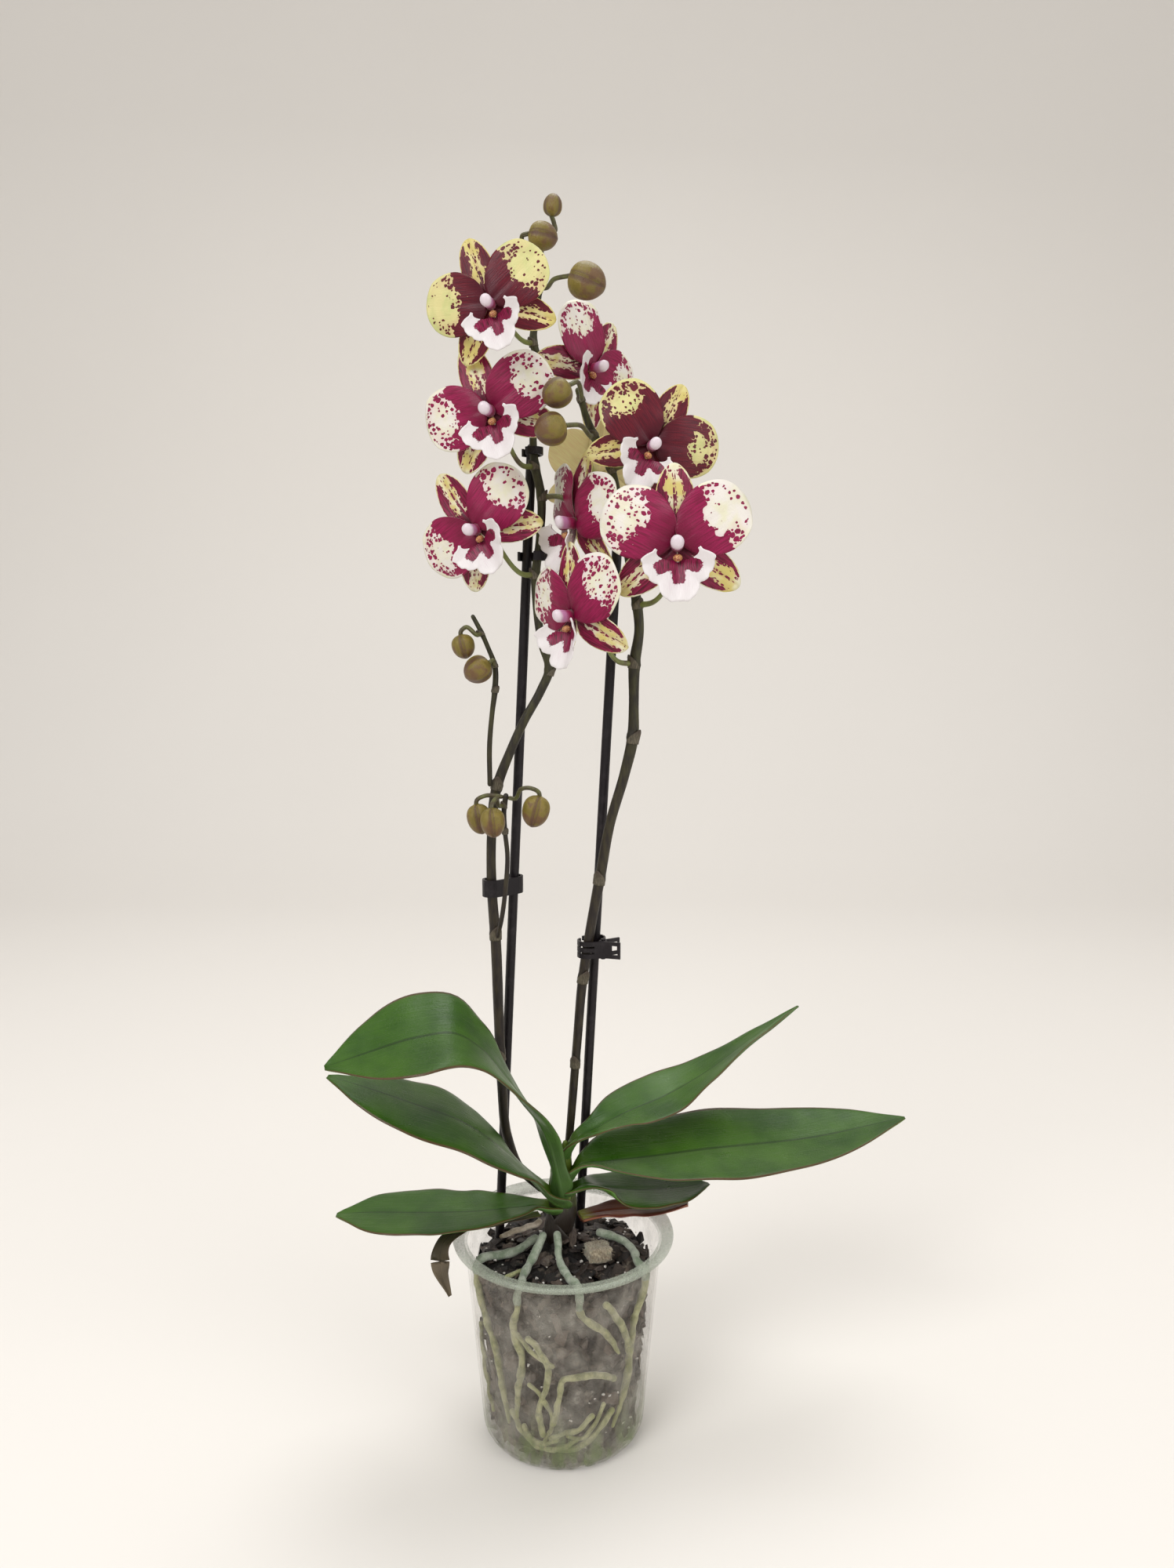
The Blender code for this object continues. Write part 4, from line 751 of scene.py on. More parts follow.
def fibre_look():
    look = Look("coco_fibre_tan", roughness=0.9, Sheen_Weight=0.3)
    place = look.place()
    felt = look.noise(look.stretch(place, 1.0, 1.0, 0.4), 1300.0, 5.0, 0.7)
    patch = look.noise(place, 240.0)
    colour = look.fade(felt, 0.35, 0.68, (0.18, 0.135, 0.08), (0.5, 0.425, 0.3))
    look.bump(felt, 0.0012)
    return look.set(Base_Color=look.mix(look.smooth(patch, 0.5, 0.7) * 0.6, colour,
                                        (0.24, 0.25, 0.17)))


def pot_look():
    """Hazy clear plastic with dust, lime specks, algae near the foot and a cloudy rim."""
    look = Look("clear_plastic", roughness=0.2, Specular_IOR_Level=0.5)
    place = look.place()
    height = look.split(place)[2]
    haze = look.noise(place, 46.0, 6.0, 0.7)
    streaks = look.noise(look.stretch(place, 1.0, 1.0, 0.3), 150.0, 4.0, 0.6)
    dust = look.noise(place, 900.0, 6.0, 0.8)
    ring_distance = look.cells(place, 190.0)
    ring = look.smooth(ring_distance, 0.22, 0.27) * look.smooth(ring_distance, 0.34, 0.29)
    ring = ring * look.smooth(look.noise(place, 70.0, 1.0), 0.55, 0.62)
    algae = look.smooth(height + haze * 0.03, 0.062, 0.022) * look.smooth(streaks, 0.42, 0.6)
    rim = look.smooth(height, 0.1082, 0.1092)
    alpha = look.smooth(haze, 0.36, 0.66, 0.05, 0.2) + look.smooth(dust, 0.56, 0.7, 0.0, 0.26)
    alpha = alpha + look.smooth(streaks, 0.5, 0.7, 0.0, 0.1)
    alpha = alpha + algae * 0.24 + ring * 0.22
    alpha = look.most(alpha, rim * look.smooth(dust, 0.35, 0.7, 0.34, 0.62))
    colour = look.fade(haze, 0.3, 0.7, (0.34, 0.29, 0.24), (0.52, 0.49, 0.42))
    colour = look.mix(algae, colour, (0.215, 0.26, 0.12))
    colour = look.mix(rim, colour, (0.38, 0.42, 0.34))
    look.bump(ring * 0.6 + dust * 0.3, 0.0004)
    return look.set(Base_Color=colour, Alpha=alpha,
                    Roughness=look.smooth(dust, 0.4, 0.7, 0.14, 0.4))


def black_look():
    """Moulded dark plastic with faint scuffs and dust."""
    look = Look("dark_plastic", roughness=0.42, Specular_IOR_Level=0.28)
    place = look.place()
    grain = look.noise(place, 1800.0, 3.0)
    dust = look.noise(place, 130.0, 5.0, 0.7)
    colour = look.fade(dust, 0.5, 0.75, (0.0075, 0.005, 0.0065), (0.026, 0.021, 0.023))
    look.bump(grain, 0.0002)
    return look.set(Base_Color=colour, Roughness=look.smooth(dust, 0.35, 0.7, 0.28, 0.55))


# ---- Pot, bark and plug -------------------------------------------------------------------

def wall_radius(z):
    """Outer radius of the pot's tapered wall at a height."""
    share = (z - FOOT_ROUND) / (POT_HEIGHT - RIM_DROP - FOOT_ROUND)
    return POT_FOOT_R + (POT_NECK_R - POT_FOOT_R) * share


def foot_profile(inset):
    """The rounded foot as (radius, height) points, moved into the plastic by inset."""
    points = []
    for angle in np.radians(np.linspace(-90, 0, 8)):
        r = POT_FLAT_R + (POT_FOOT_R - POT_FLAT_R) * math.cos(angle)
        z = FOOT_ROUND + FOOT_ROUND * math.sin(angle)
        points.append((r - inset * math.cos(angle), z - inset * math.sin(angle)))
    return points


def build_pot(look):
    """Tapered wall, rolled rim with a step under it, rounded foot and drain holes."""
    neck = POT_HEIGHT - RIM_DROP
    heights = np.linspace(0.02, 0.1, 9)
    outside = foot_profile(0.0) + [(wall_radius(z), z) for z in heights]
    outside += [(wall_radius(0.1035), 0.1035), (wall_radius(0.104) + 0.0004, 0.1042),
                (wall_radius(0.106) + 0.0004, 0.1062), (wall_radius(neck) + 0.0002, neck)]
    rim = [(POT_RIM_R - 0.001, neck), (POT_RIM_R - 0.0003, neck + 0.0004),
           (POT_RIM_R, neck + 0.0012), (POT_RIM_R, POT_HEIGHT - 0.0014),
           (POT_RIM_R - 0.0004, POT_HEIGHT - 0.0004), (POT_RIM_R - 0.0014, POT_HEIGHT),
           (POT_RIM_R - 0.003, POT_HEIGHT - 0.0002), (POT_RIM_R - 0.004, POT_HEIGHT - 0.0007),
           (POT_NECK_R + 0.0008, POT_HEIGHT - 0.0007), (POT_NECK_R - 0.0004, POT_HEIGHT - 0.0011),
           (POT_NECK_R - POT_WALL, POT_HEIGHT - 0.0022)]
    inside = [(wall_radius(z) - POT_WALL, z) for z in heights[::-1]] + foot_profile(POT_WALL)[::-1]
    profile = [(0.002, 0.0), (0.02, 0.0), *outside, *rim, *inside, (0.02, POT_WALL),
               (0.002, POT_WALL)]
    sides = 120
    pot = Shape()
    pot.add_rings([[polar(r, a, z)
                    for a in turns(sides)] for r, z in profile])
    made = pot.finish("clear_pot", [look], ["nursery_pot"], sharp=50.0)
    holes = Shape()
    for k in range(DRAIN_HOLES):
        a = 2 * math.pi * (k + 0.35) / DRAIN_HOLES
        x, y = DRAIN_CIRCLE_R * math.cos(a), DRAIN_CIRCLE_R * math.sin(a)
        holes.add_rings([[(x + DRAIN_HOLE_R * math.cos(b), y + DRAIN_HOLE_R * math.sin(b), z)
                          for b in turns(24)]
                         for z in (-0.002, 0.0062)])
    cutter = holes.finish("drain_cutter", [look])
    modifier = made.modifiers.new("drain_holes", "BOOLEAN")
    modifier.operation, modifier.solver, modifier.object = "DIFFERENCE", "EXACT", cutter
    cut = bpy.data.meshes.new_from_object(made.evaluated_get(bpy.context.evaluated_depsgraph_get()))
    made.modifiers.clear()
    made.data = cut
    bpy.data.objects.remove(cutter, do_unlink=True)


def chip_body(draw, length, width, thickness):
    """Points and faces of one angular flake about the origin: long X, thin Z."""
    bm = bmesh.new()
    for _ in range(16):
        p = draw.uniform(-1.0, 1.0, 3)
        p /= max(1.0, np.linalg.norm(p[:2]) * 0.92)
        bm.verts.new((p[0] * length / 2, p[1] * width / 2, p[2] * thickness / 2))
    hull = bmesh.ops.convex_hull(bm, input=bm.verts)
    bmesh.ops.delete(bm, geom=list({g for g in hull["geom_interior"] + hull["geom_unused"]
                                    if isinstance(g, bmesh.types.BMVert)}), context="VERTS")
    bm.verts.index_update()
    verts = [v.co.copy() for v in bm.verts]
    faces = [tuple(v.index for v in f.verts) for f in bm.faces]
    bm.free()
    return verts, faces


def add_chip(shape, draw, matrix, sizes, look):
    verts, faces = chip_body(draw, *sizes)
    chance = draw.random()
    shape.add([matrix @ v for v in verts], faces, look, [(0.0, 0.0, chance)] * len(verts))


def mound(x, y):
    """How far the bark is heaped up at a place near the crown."""
    away = math.hypot(x - CROWN_FOOT[0], y - CROWN_FOOT[1])
    return MOUND_HEIGHT * math.exp(-(away / MOUND_R) ** 2)


BARK_SEED, PLUG_SEED, FLOWER_SEED = 11, 23, 100
TOP_CHIPS, TOP_CHIPS_R = 300, 0.0425
SPECKS, TOP_SPECKS, TOP_SPECKS_R = 150, 90, 0.044


def build_bark(dark, brown, speck):
    """A lumpy core, flakes packed behind the wall and on top, and pale specks among them."""
    draw = np.random.default_rng(BARK_SEED)
    rings = []
    sides = 96
    levels = [(0.0022, -0.01)] + [(z, 0.0) for z in np.linspace(0.008, 0.096, 24)]
    for z, shift in levels:
        ring = []
        for a in turns(sides):
            lump = noise.noise(Vector((math.cos(a) * 5.0, math.sin(a) * 5.0, z * 110.0)))
            r = wall_radius(max(z, FOOT_ROUND)) - POT_WALL - ROOT_GAP * 0.88 + 0.0016 * lump + shift
            ring.append(polar(r, a, z))
        rings.append(ring)
    for share in np.linspace(0.97, 0.03, 14):
        ring = []
        for a in turns(sides):
            r = (wall_radius(BARK_TOP) - POT_WALL - ROOT_GAP) * share
            x, y = r * math.cos(a), r * math.sin(a)
            z = BARK_TOP + mound(x, y) - 0.0012 + 0.0024 * noise.noise(Vector((x, y, 0.0)) * 130.0)
            ring.append((x, y, z))
        rings.append(ring)
    core = Shape()
    core.add_rings(rings)
    core.finish("bark_core", [dark], ["bark_fill"])

    wall = Shape()
    for z in np.arange(0.007, 0.1, 0.0075):
        for a in np.arange(0.0, 360.0, 12.5):
            a = math.radians(a + draw.uniform(-6.0, 6.0))
            level = z + draw.uniform(-0.003, 0.003)
            level = min(max(level, 0.006), 0.098)
            r = wall_radius(max(level, FOOT_ROUND)) - POT_WALL - draw.uniform(0.004, 0.0058)
            turn = Matrix.Rotation(a, 4, "Z") @ Matrix.Rotation(math.radians(90), 4, "Y")
            turn = turn @ Matrix.Rotation(draw.uniform(0.0, math.pi), 4, "Z")
            turn = turn @ Matrix.Rotation(draw.uniform(-0.25, 0.25), 4, "X")
            place = Matrix.Translation(polar(r, a, level)) @ turn
            sizes = (draw.uniform(0.007, 0.014), draw.uniform(0.005, 0.009),
                     draw.uniform(0.002, 0.0045))
            add_chip(wall, draw, place, sizes, int(draw.random() < 0.45))
    wall.finish("bark_behind_wall", [dark, brown], sharp=25.0)

    top = Shape()
    for _ in range(TOP_CHIPS):
        r = TOP_CHIPS_R * math.sqrt(draw.random())
        a = draw.uniform(0.0, 2 * math.pi)
        x, y = r * math.cos(a), r * math.sin(a)
        turn = Matrix.Rotation(draw.uniform(0.0, 2 * math.pi), 4, "Z")
        turn = turn @ Matrix.Rotation(draw.uniform(-0.5, 0.5), 4, "X")
        turn = turn @ Matrix.Rotation(draw.uniform(-0.4, 0.4), 4, "Y")
        place = Matrix.Translation((x, y,
                                    BARK_TOP + mound(x, y) + draw.uniform(-0.0012, 0.001))) @ turn
        size = draw.uniform(0.4, 1.0)
        sizes = (0.015 * size, draw.uniform(0.006, 0.011) * size,
                 draw.uniform(0.003, 0.0055) * size)
        add_chip(top, draw, place, sizes, int(draw.random() < 0.55))
    top.finish("bark_on_top", [dark, brown], sharp=25.0)

    specks = Shape()
    for k in range(SPECKS):
        a = draw.uniform(0.0, 2 * math.pi)
        size = draw.uniform(0.0007, 0.0022)
        if k < TOP_SPECKS:
            r = TOP_SPECKS_R * math.sqrt(draw.random())
            z = BARK_TOP + mound(r * math.cos(a), r * math.sin(a)) + draw.uniform(0.001, 0.0026)
        else:
            z = draw.uniform(0.01, 0.096)
            r = wall_radius(z) - POT_WALL - draw.uniform(0.0018, 0.0032)
        place = Matrix.Translation(polar(r, a, z))
        add_chip(specks, draw, place, (size, size * 0.8, size * 0.7), 0)
    specks.finish("white_grit", [speck], sharp=25.0)


PLUG_CENTRE = (0.019, -0.015, 0.1088)
PLUG_SIZE = (0.013, 0.0115, 0.008)
LOOSE_FIBRES = 150


def build_plug(look):
    """The fibre plug: a worn block with loose fibres standing out of it."""
    draw = np.random.default_rng(PLUG_SEED)
    bm = bmesh.new()
    bmesh.ops.create_cube(bm, size=1.0)
    bmesh.ops.subdivide_edges(bm, edges=bm.edges, cuts=13, use_grid_fill=True)
    for v in bm.verts:
        p = np.array(v.co) * 2.0
        p /= max(np.sum(np.abs(p) ** 6) ** (1 / 6), 1e-6) / max(np.max(np.abs(p)), 1e-6)
        rough = 1.0 + 0.1 * noise.noise(Vector(p) * 2.2) + 0.07 * noise.noise(Vector(p) * 7.0)
        v.co = Vector(p * rough * np.array(PLUG_SIZE) / 2)
    bmesh.ops.rotate(bm, matrix=Matrix.Rotation(math.radians(18), 3, "Z"), verts=bm.verts)
    bmesh.ops.translate(bm, vec=PLUG_CENTRE, verts=bm.verts)
    plug = Shape()
    plug.add([v.co[:] for v in bm.verts], [tuple(v.index for v in f.verts) for f in bm.faces])
    bm.free()
    for _ in range(LOOSE_FIBRES):
        out = unit(draw.normal(size=3))
        out[2] = abs(out[2])
        start = np.array(PLUG_CENTRE) + out * np.array(PLUG_SIZE) * 0.4
        bend = unit(draw.normal(size=3)) * draw.uniform(0.001, 0.003)
        rows = [(*start, 0.00014), (*(start + out * 0.0014 + bend * 0.4), 0.00011),
                (*(start + out * 0.0022 + bend), 0.00006)]
        plug.add_tube(rows, 5, 4, blunt=False)
    plug.finish("coco_plug", [look], ["fibre_plug"])


# ---- Roots --------------------------------------------------------------------------------

SURFACE_Z = BARK_TOP + BARK_BUMP + ROOT_R + 0.0006

# Each root: (x, y, rise above the bark) points, then (azimuth, height) points down inside the wall.
ROOTS = {
    "root_front": ([(-0.003, -0.0095, 0.0065), (-0.0015, -0.0195, 0.0015), (0.0035, -0.032, 0.0)],
                   [(-79, 0.095), (-73, 0.088), (-60, 0.078), (-50, 0.064)]),
    "root_front_left": ([(-0.0105, -0.0085, 0.006), (-0.016, -0.017, 0.0015),
                         (-0.0205, -0.03, 0.0)],
                        [(-118, 0.095), (-122, 0.081), (-117, 0.064), (-121, 0.045),
                         (-124, 0.028)]),
    "root_left": ([(-0.015, -0.003, 0.001), (-0.027, -0.008, 0.0), (-0.035, -0.0095, 0.0)],
                  [(-163, 0.095), (-152, 0.08), (-140, 0.06), (-136, 0.04), (-132, 0.022)]),
    "root_right": ([(0.02, 0.006, 0.003), (0.0325, 0.0035, 0.001), (0.0385, -0.007, 0.0)],
                   [(-24, 0.095), (-36, 0.08), (-38, 0.06), (-40, 0.04), (-50, 0.02)]),
    "dry_root": ([(-0.0125, 0.002, 0.0065), (-0.019, 0.0005, 0.0075), (-0.0262, -0.0005, 0.0065),
                  (-0.0335, 0.0015, 0.004)], []),
}
WALL_ROOTS = {
    "wall_root_middle": [(-111, 0.078), (-104, 0.071), (-99, 0.064), (-101, 0.05), (-106, 0.034),
                         (-104, 0.022)],
    "wall_root_cross": [(-53, 0.05), (-62, 0.0545), (-76, 0.0565), (-88, 0.0555), (-92, 0.043),
                        (-96, 0.029)],
}
# Finer roots with no CAD node of their own: (azimuth, height) points, then a radius.
FINE_ROOTS = [
    ([(-112, 0.05), (-104, 0.044), (-97, 0.034), (-98, 0.024), (-102, 0.018)], 0.0012),
    ([(-128, 0.03), (-122, 0.022), (-113, 0.017), (-103, 0.016), (-94, 0.019)], 0.0015),
    ([(-118, 0.024), (-110, 0.014), (-99, 0.013), (-88, 0.015), (-79, 0.019)], 0.0013),
    ([(-98, 0.02), (-88, 0.023), (-78, 0.025), (-68, 0.031)], 0.0013),
    ([(-92, 0.013), (-82, 0.013), (-70, 0.017), (-60, 0.024), (-52, 0.03)], 0.0017),
    ([(-62, 0.096), (-54, 0.087), (-45, 0.073), (-40, 0.062)], 0.0019),
    ([(-119, 0.078), (-112, 0.072), (-104, 0.067), (-96, 0.064)], 0.0013),
    ([(-60, 0.036), (-66, 0.026), (-76, 0.019), (-86, 0.021)], 0.0011),
    ([(20, 0.085), (28, 0.07), (24, 0.05), (33, 0.032), (42, 0.02)], 0.0015),
    ([(62, 0.08), (70, 0.062), (82, 0.05), (80, 0.03), (92, 0.018)], 0.0015),
    ([(118, 0.09), (112, 0.072), (122, 0.052), (130, 0.036), (127, 0.02)], 0.0016),
    ([(160, 0.078), (168, 0.06), (161, 0.044), (172, 0.028)], 0.0013),
    ([(50, 0.022), (66, 0.015), (86, 0.016), (104, 0.014), (122, 0.019)], 0.0013),
    ([(195, 0.066), (188, 0.048), (197, 0.032), (206, 0.02)], 0.0013),
]


def wall_point(azimuth, z, outward=0.0):
    """A point in the root space at an angle (degrees from +X) and a height."""
    r = wall_radius(z) - POT_WALL - ROOT_GAP / 2 + outward
    a = math.radians(azimuth)
    return polar(r, a, z)


def over_edge(azimuth):
    """Two points that carry a root over the bark's edge and into the root space."""
    inner = wall_radius(BARK_TOP) - POT_WALL - ROOT_GAP
    a = math.radians(azimuth)
    return [polar(inner - 0.001, a, SURFACE_Z + 0.0004),
            polar(inner + 0.0029, a, BARK_TOP + 0.0006)]


def waver(rows, count, amount, seed):
    """Rows read from a smooth curve, with the small wander and swelling of a grown root."""
    path = smooth_rows(rows, count)
    for k, row in enumerate(path):
        place = Vector(row[:3]) * 160.0 + Vector((seed * 7.3, 0.0, 0.0))
        path[k, :3] += amount * np.array(noise.noise_vector(place))
        path[k, 3] *= 1.0 + 0.3 * noise.noise(place * 1.3)
    return path


def build_roots(surface, hidden, dry):
    for number, (name, (on_bark, on_wall)) in enumerate(ROOTS.items()):
        thick = ROOT_R * (1.0 if name == "dry_root" else 1.28)
        rows = [(x, y, SURFACE_Z + mound(x, y) + rise, thick) for x, y, rise in on_bark]
        if on_wall:
            rows += [(*point, thick) for point in over_edge(on_wall[0][0])]
        rows += [(*wall_point(a, z, 0.0005), ROOT_R * 1.16) for a, z in on_wall]
        rows[-1] = (*rows[-1][:3], ROOT_R * 0.6)
        root = Shape()
        path = waver(rows, 20 * len(rows), 0.0006 if name != "dry_root" else 0.0016, number)
        root.add_tube(path, len(path), 12)
        if name == "dry_root":
            root.finish(name + "_skin", [dry], [name])
            continue
        for k, face in enumerate(root.faces):
            root.looks[k] = int(root.verts[face[0]][2] < BARK_TOP - 0.004)
        root.finish(name + "_skin", [surface, hidden], [name])
    for number, (name, on_wall) in enumerate(WALL_ROOTS.items()):
        root = Shape()
        path = waver([(*wall_point(a, z, 0.0009), ROOT_R) for a, z in on_wall], 60, 0.0009,
                     9 + number)
        root.add_tube(path, len(path), 12)
        root.finish(name + "_skin", [hidden], [name])
    fine = Shape()
    for number, (on_wall, radius) in enumerate(FINE_ROOTS):
        path = waver([(*wall_point(a, z, 0.0006), radius) for a, z in on_wall], 54, 0.0008,
                     20 + number)
        fine.add_tube(path, len(path), 10)
    branch = [(-0.0185, -0.0235), (-0.025, -0.027), (-0.029, -0.03)]
    rows = [(x, y, SURFACE_Z - 0.0004, 0.0012) for x, y in branch]
    fine.add_tube(waver(rows, 40, 0.0006, 40), 40, 10)
    fine.finish("fine_roots", [hidden])


# ---- Crown and leaves ---------------------------------------------------------------------

def build_crown(look):
    """The short stem, wrapped in the folded bases of the leaves."""
    foot, top = np.array(CROWN_FOOT), np.array(CROWN_TOP)
    crown = Shape()
    shares = [(0.0, 0.75), (0.25, 1.0), (0.5, 1.0), (0.75, 0.85), (0.93, 0.55), (1.0, 0.25)]
    crown.add_tube([(*(foot + (top - foot) * t), CROWN_R * 0.8 * w) for t, w in shares], 50, 32)
    axis = unit(top - foot)
    for k, (level, height) in enumerate([(0.012, 0.026), (0.024, 0.026), (0.036, 0.024)]):
        facing = math.radians(8 if k % 2 else 188)

        def sheath_point(t, v):
            a = facing + v * math.radians(150) * (1 - 0.65 * t ** 1.6)
            swell = 1.05 + 0.2 * math.sin(math.pi * min(t * 1.2, 1.0)) + 0.16 * t ** 2
            r = CROWN_R * (swell - 0.12 - 0.06 * k)
            centre = foot + axis * (level + height * t * (1 - 0.2 * v * v))
            return centre + r * np.array((math.cos(a), 0.9 * math.sin(a), 0.0))

        points, grow = point_grid(sheath_point, 16, 25)
        crown.add_sheet(points, grid_normals(points), thin_edges(16, 25, 0.0009, 0.4), 0, grow)
    crown.finish("crown_sheaths", [look], ["crown"])


# The folded heel of a leaf, from inside the crown outwards, in rows like those of LEAVES.
HEELS = {
    "leaf_upper_left": [(-10, -30, 1290, 50, 0), (-14, -70, 1420, 62, 0)],
    "leaf_mid_left": [(0, -10, 1270, 50, 0), (-62, -58, 1345, 85, 4)],
    "leaf_lower_left": [(-20, 10, 1220, 50, 0), (-80, -10, 1250, 66, 0)],
    "leaf_right": [(-10, 10, 1330, 50, 0), (45, -30, 1450, 70, 2)],
    "leaf_upper_right": [(0, 20, 1480, 40, 2), (35, 0, 1590, 50, 4)],
    "leaf_lower_right": [(10, 10, 1300, 50, 0), (60, -10, 1360, 66, 0)],
}


LEAF_ALONG, LEAF_ACROSS = 72, 29        # points of a blade's grid
LEAF_THICK = 0.0018
GROOVE = 0.0007              # depth of the groove on the midrib
HEEL_FOLD = 0.9              # extra fold of a green blade where it leaves the crown


def blade_grid(rows, fold, heel_fold, wave, seed):
    """Points of a leaf's middle surface with a groove on the midrib and a slightly wavy edge."""
    path = smooth_rows(rows, LEAF_ALONG)
    points = []
    for k, (row, tangent) in enumerate(zip(path, np.gradient(path[:, :3], axis=0))):
        tangent = unit(tangent)
        level = unit(np.cross(tangent, (0.0, 0.0, 1.0)))
        if level[1] < 0:
            level = -level
        up = np.cross(tangent, level)
        if up[2] < 0:
            up = -up
        roll = math.radians(row[4])
        side = level * math.cos(roll) + up * math.sin(roll)
        normal = up * math.cos(roll) - level * math.sin(roll)
        share = k / (LEAF_ALONG - 1)
        half = row[3] = max(row[3], 0.0004)
        bend = fold + math.exp(-share / 0.1) * heel_fold
        station = []
        for v in np.linspace(-1.0, 1.0, LEAF_ACROSS):
            lift = half * bend * abs(v) ** 1.5 - GROOVE * math.exp(-(v / 0.1) ** 2) * (1 - share)
            lift += wave * abs(v) ** 2 * noise.noise(Vector((share * 7.0, v * 0.9, seed * 3.1)))
            station.append(row[:3] + side * half * v + normal * lift)
        points.append(station)
    return np.array(points), path


def build_leaves(green, old, dry):
    """Eight blades; the first six are green, and the last one is dry."""
    for number, (name, (rows, fold)) in enumerate(LEAVES.items()):
        is_green, is_dry = name in HEELS, name == "dry_leaf_left"
        rows = np.array([*HEELS.get(name, []), *rows]) / ([TENTHS] * 4 + [1])
        points, path = blade_grid(rows, fold, HEEL_FOLD if is_green else 0.0,
                                  0.0016 if is_green else 0.0012, number)
        steps = np.linalg.norm(np.diff(path[:, :3], axis=0), axis=1)
        lengths, halves = np.concatenate([[0.0], np.cumsum(steps)]), path[:, 3]
        places = np.linspace(-1.0, 1.0, LEAF_ACROSS)
        edge = np.clip((1 - np.abs(places)) * 5.0, 0.0, 1.0) ** 0.5
        full = LEAF_THICK * (0.45 if is_dry else 1.0)
        thick = full * (0.2 + 0.8 * edge)[None, :] * np.ones((LEAF_ALONG, 1))
        thick *= np.clip(halves / 0.004, 0.35, 1.0)[:, None]
        thick *= 1.0 + 0.8 * np.exp(-np.linspace(0.0, 1.0, LEAF_ALONG) / 0.08)[:, None]
        grow = [[(length / lengths[-1], v) for v in places] for length in lengths]
        flat = [(length, v * half, 0.0) for length, half in zip(lengths, halves) for v in places]
        normals = grid_normals(points)
        leaf = Shape()
        leaf.add_sheet(points, normals, thick, 0, grow, flat)
        if normals[LEAF_ALONG // 2, LEAF_ACROSS // 2, 2] <= 0:
            leaf.grow = [(a, b, 1.0 - side) for a, b, side in leaf.grow]
        look = green if is_green else dry if is_dry else old
        leaf.finish(name + "_blade", [look], [name])


# ---- Spikes, branches and stakes ----------------------------------------------------------

# Bracts: the stem, height and plan direction of each, and its length.
BRACTS = [("left", 0.213, -120, 0.0085), ("left", 0.279, -60, 0.008),
          ("left", 0.3575, -100, 0.0075),
          ("left", 0.4175, 10, 0.006), ("left", 0.4642, -150, 0.0055),
          ("left", 0.5039, -20, 0.0052),
          ("left", 0.518, -140, 0.005), ("left", 0.5656, 10, 0.0045),
          ("left", 0.5778, -130, 0.0045),
          ("left", 0.6009, -50, 0.004), ("left", 0.618, 170, 0.0036),
          ("right", 0.206, -110, 0.008), ("right", 0.2537, -60, 0.008),
          ("right", 0.308, -120, 0.008),
          ("right", 0.3829, -40, 0.0078), ("right", 0.4198, -150, 0.0068),
          ("right", 0.45, -50, 0.0055),
          ("right", 0.516, -30, 0.0048), ("right", 0.5307, -120, 0.0045),
          ("right", 0.546, -100, 0.004),
          ("upper", 0.4074, -60, 0.004), ("upper", 0.42, -110, 0.0038),
          ("upper", 0.436, -140, 0.0035),
          ("lower", 0.3357, -70, 0.0038), ("lower", 0.349, -130, 0.0036)]


def add_bract(shape, stem, height, plan, length, look):
    """A pointed scale that clasps a stem and leans a little away from it."""
    centre, along, radius = stem_place(stem, height)
    out = flat_out(plan)
    out = unit(out - along * out.dot(along))
    other = np.cross(along, out)

    def scale_point(t, v):
        turn = v * math.radians(115) * (1 - t ** 1.5) + v * 0.06
        r = radius + 0.0003 + 0.0011 * t ** 1.6 * (1 - 0.5 * v * v)
        round_stem = r * (math.cos(turn) * out + math.sin(turn) * other)
        return centre + along * (length * (t - 0.35)) + round_stem

    points, grow = point_grid(scale_point, 10, 11)
    shape.add_sheet(points, grid_normals(points), thin_edges(10, 11, 0.0004, 0.5), look, grow)


def build_stems(skin, scale, black):
    for stem, node in STEM_NODES.items():
        heights = [h for s, h, _, _ in BRACTS if s == stem]
        count = 260 if len(STEMS[stem]) > 10 else 90
        path = smooth_rows(STEMS[stem], count)
        for row in path:
            near = sum(math.exp(-((row[2] - h) / 0.0016) ** 2) for h in heights)
            row[3] *= 1.0 + 0.16 * min(near, 1.0) + 0.03 * noise.noise(Vector(row[:3]) * 90.0)
        shape = Shape()
        shape.add_tube(path, count, 18)
        for s, height, plan, length in BRACTS:
            if s == stem:
                add_bract(shape, s, height, plan, length, 1)
        shape.finish(node + "_skin", [skin, scale], [node])
    for side, ends in STAKES.items():
        foot, top = np.array(ends)
        along = unit(top - foot)
        rows = [(*foot, STAKE_R * 0.35), (*(foot + along * 0.008), STAKE_R),
                *[(*(foot + (top - foot) * t), STAKE_R) for t in np.linspace(0.1, 0.98, 8)],
                (*(top - along * 0.0008), STAKE_R * 0.96)]
        stake = Shape()
        stake.add_tube(rows, 60, 24)
        stake.finish("stake_%s_rod" % side, [black], ["stake_" + side])


# ---- Flowers ------------------------------------------------------------------------------

def flower_frame(centre, azimuth, elevation, roll):
    """The matrix that turns a flower from its own axes (+Z forward, +Y up) into place."""
    az, el = math.radians(azimuth), math.radians(elevation)
    forward = Vector((math.sin(az) * math.cos(el), -math.cos(az) * math.cos(el), math.sin(el)))
    up = Vector((0.0, 0.0, 1.0))
    right = up.cross(forward).normalized()
    up = forward.cross(right)
    turn = Matrix((right, up, forward)).transposed() @ Matrix.Rotation(math.radians(roll), 3, "Z")
    return Matrix.Translation(centre) @ turn.to_4x4()


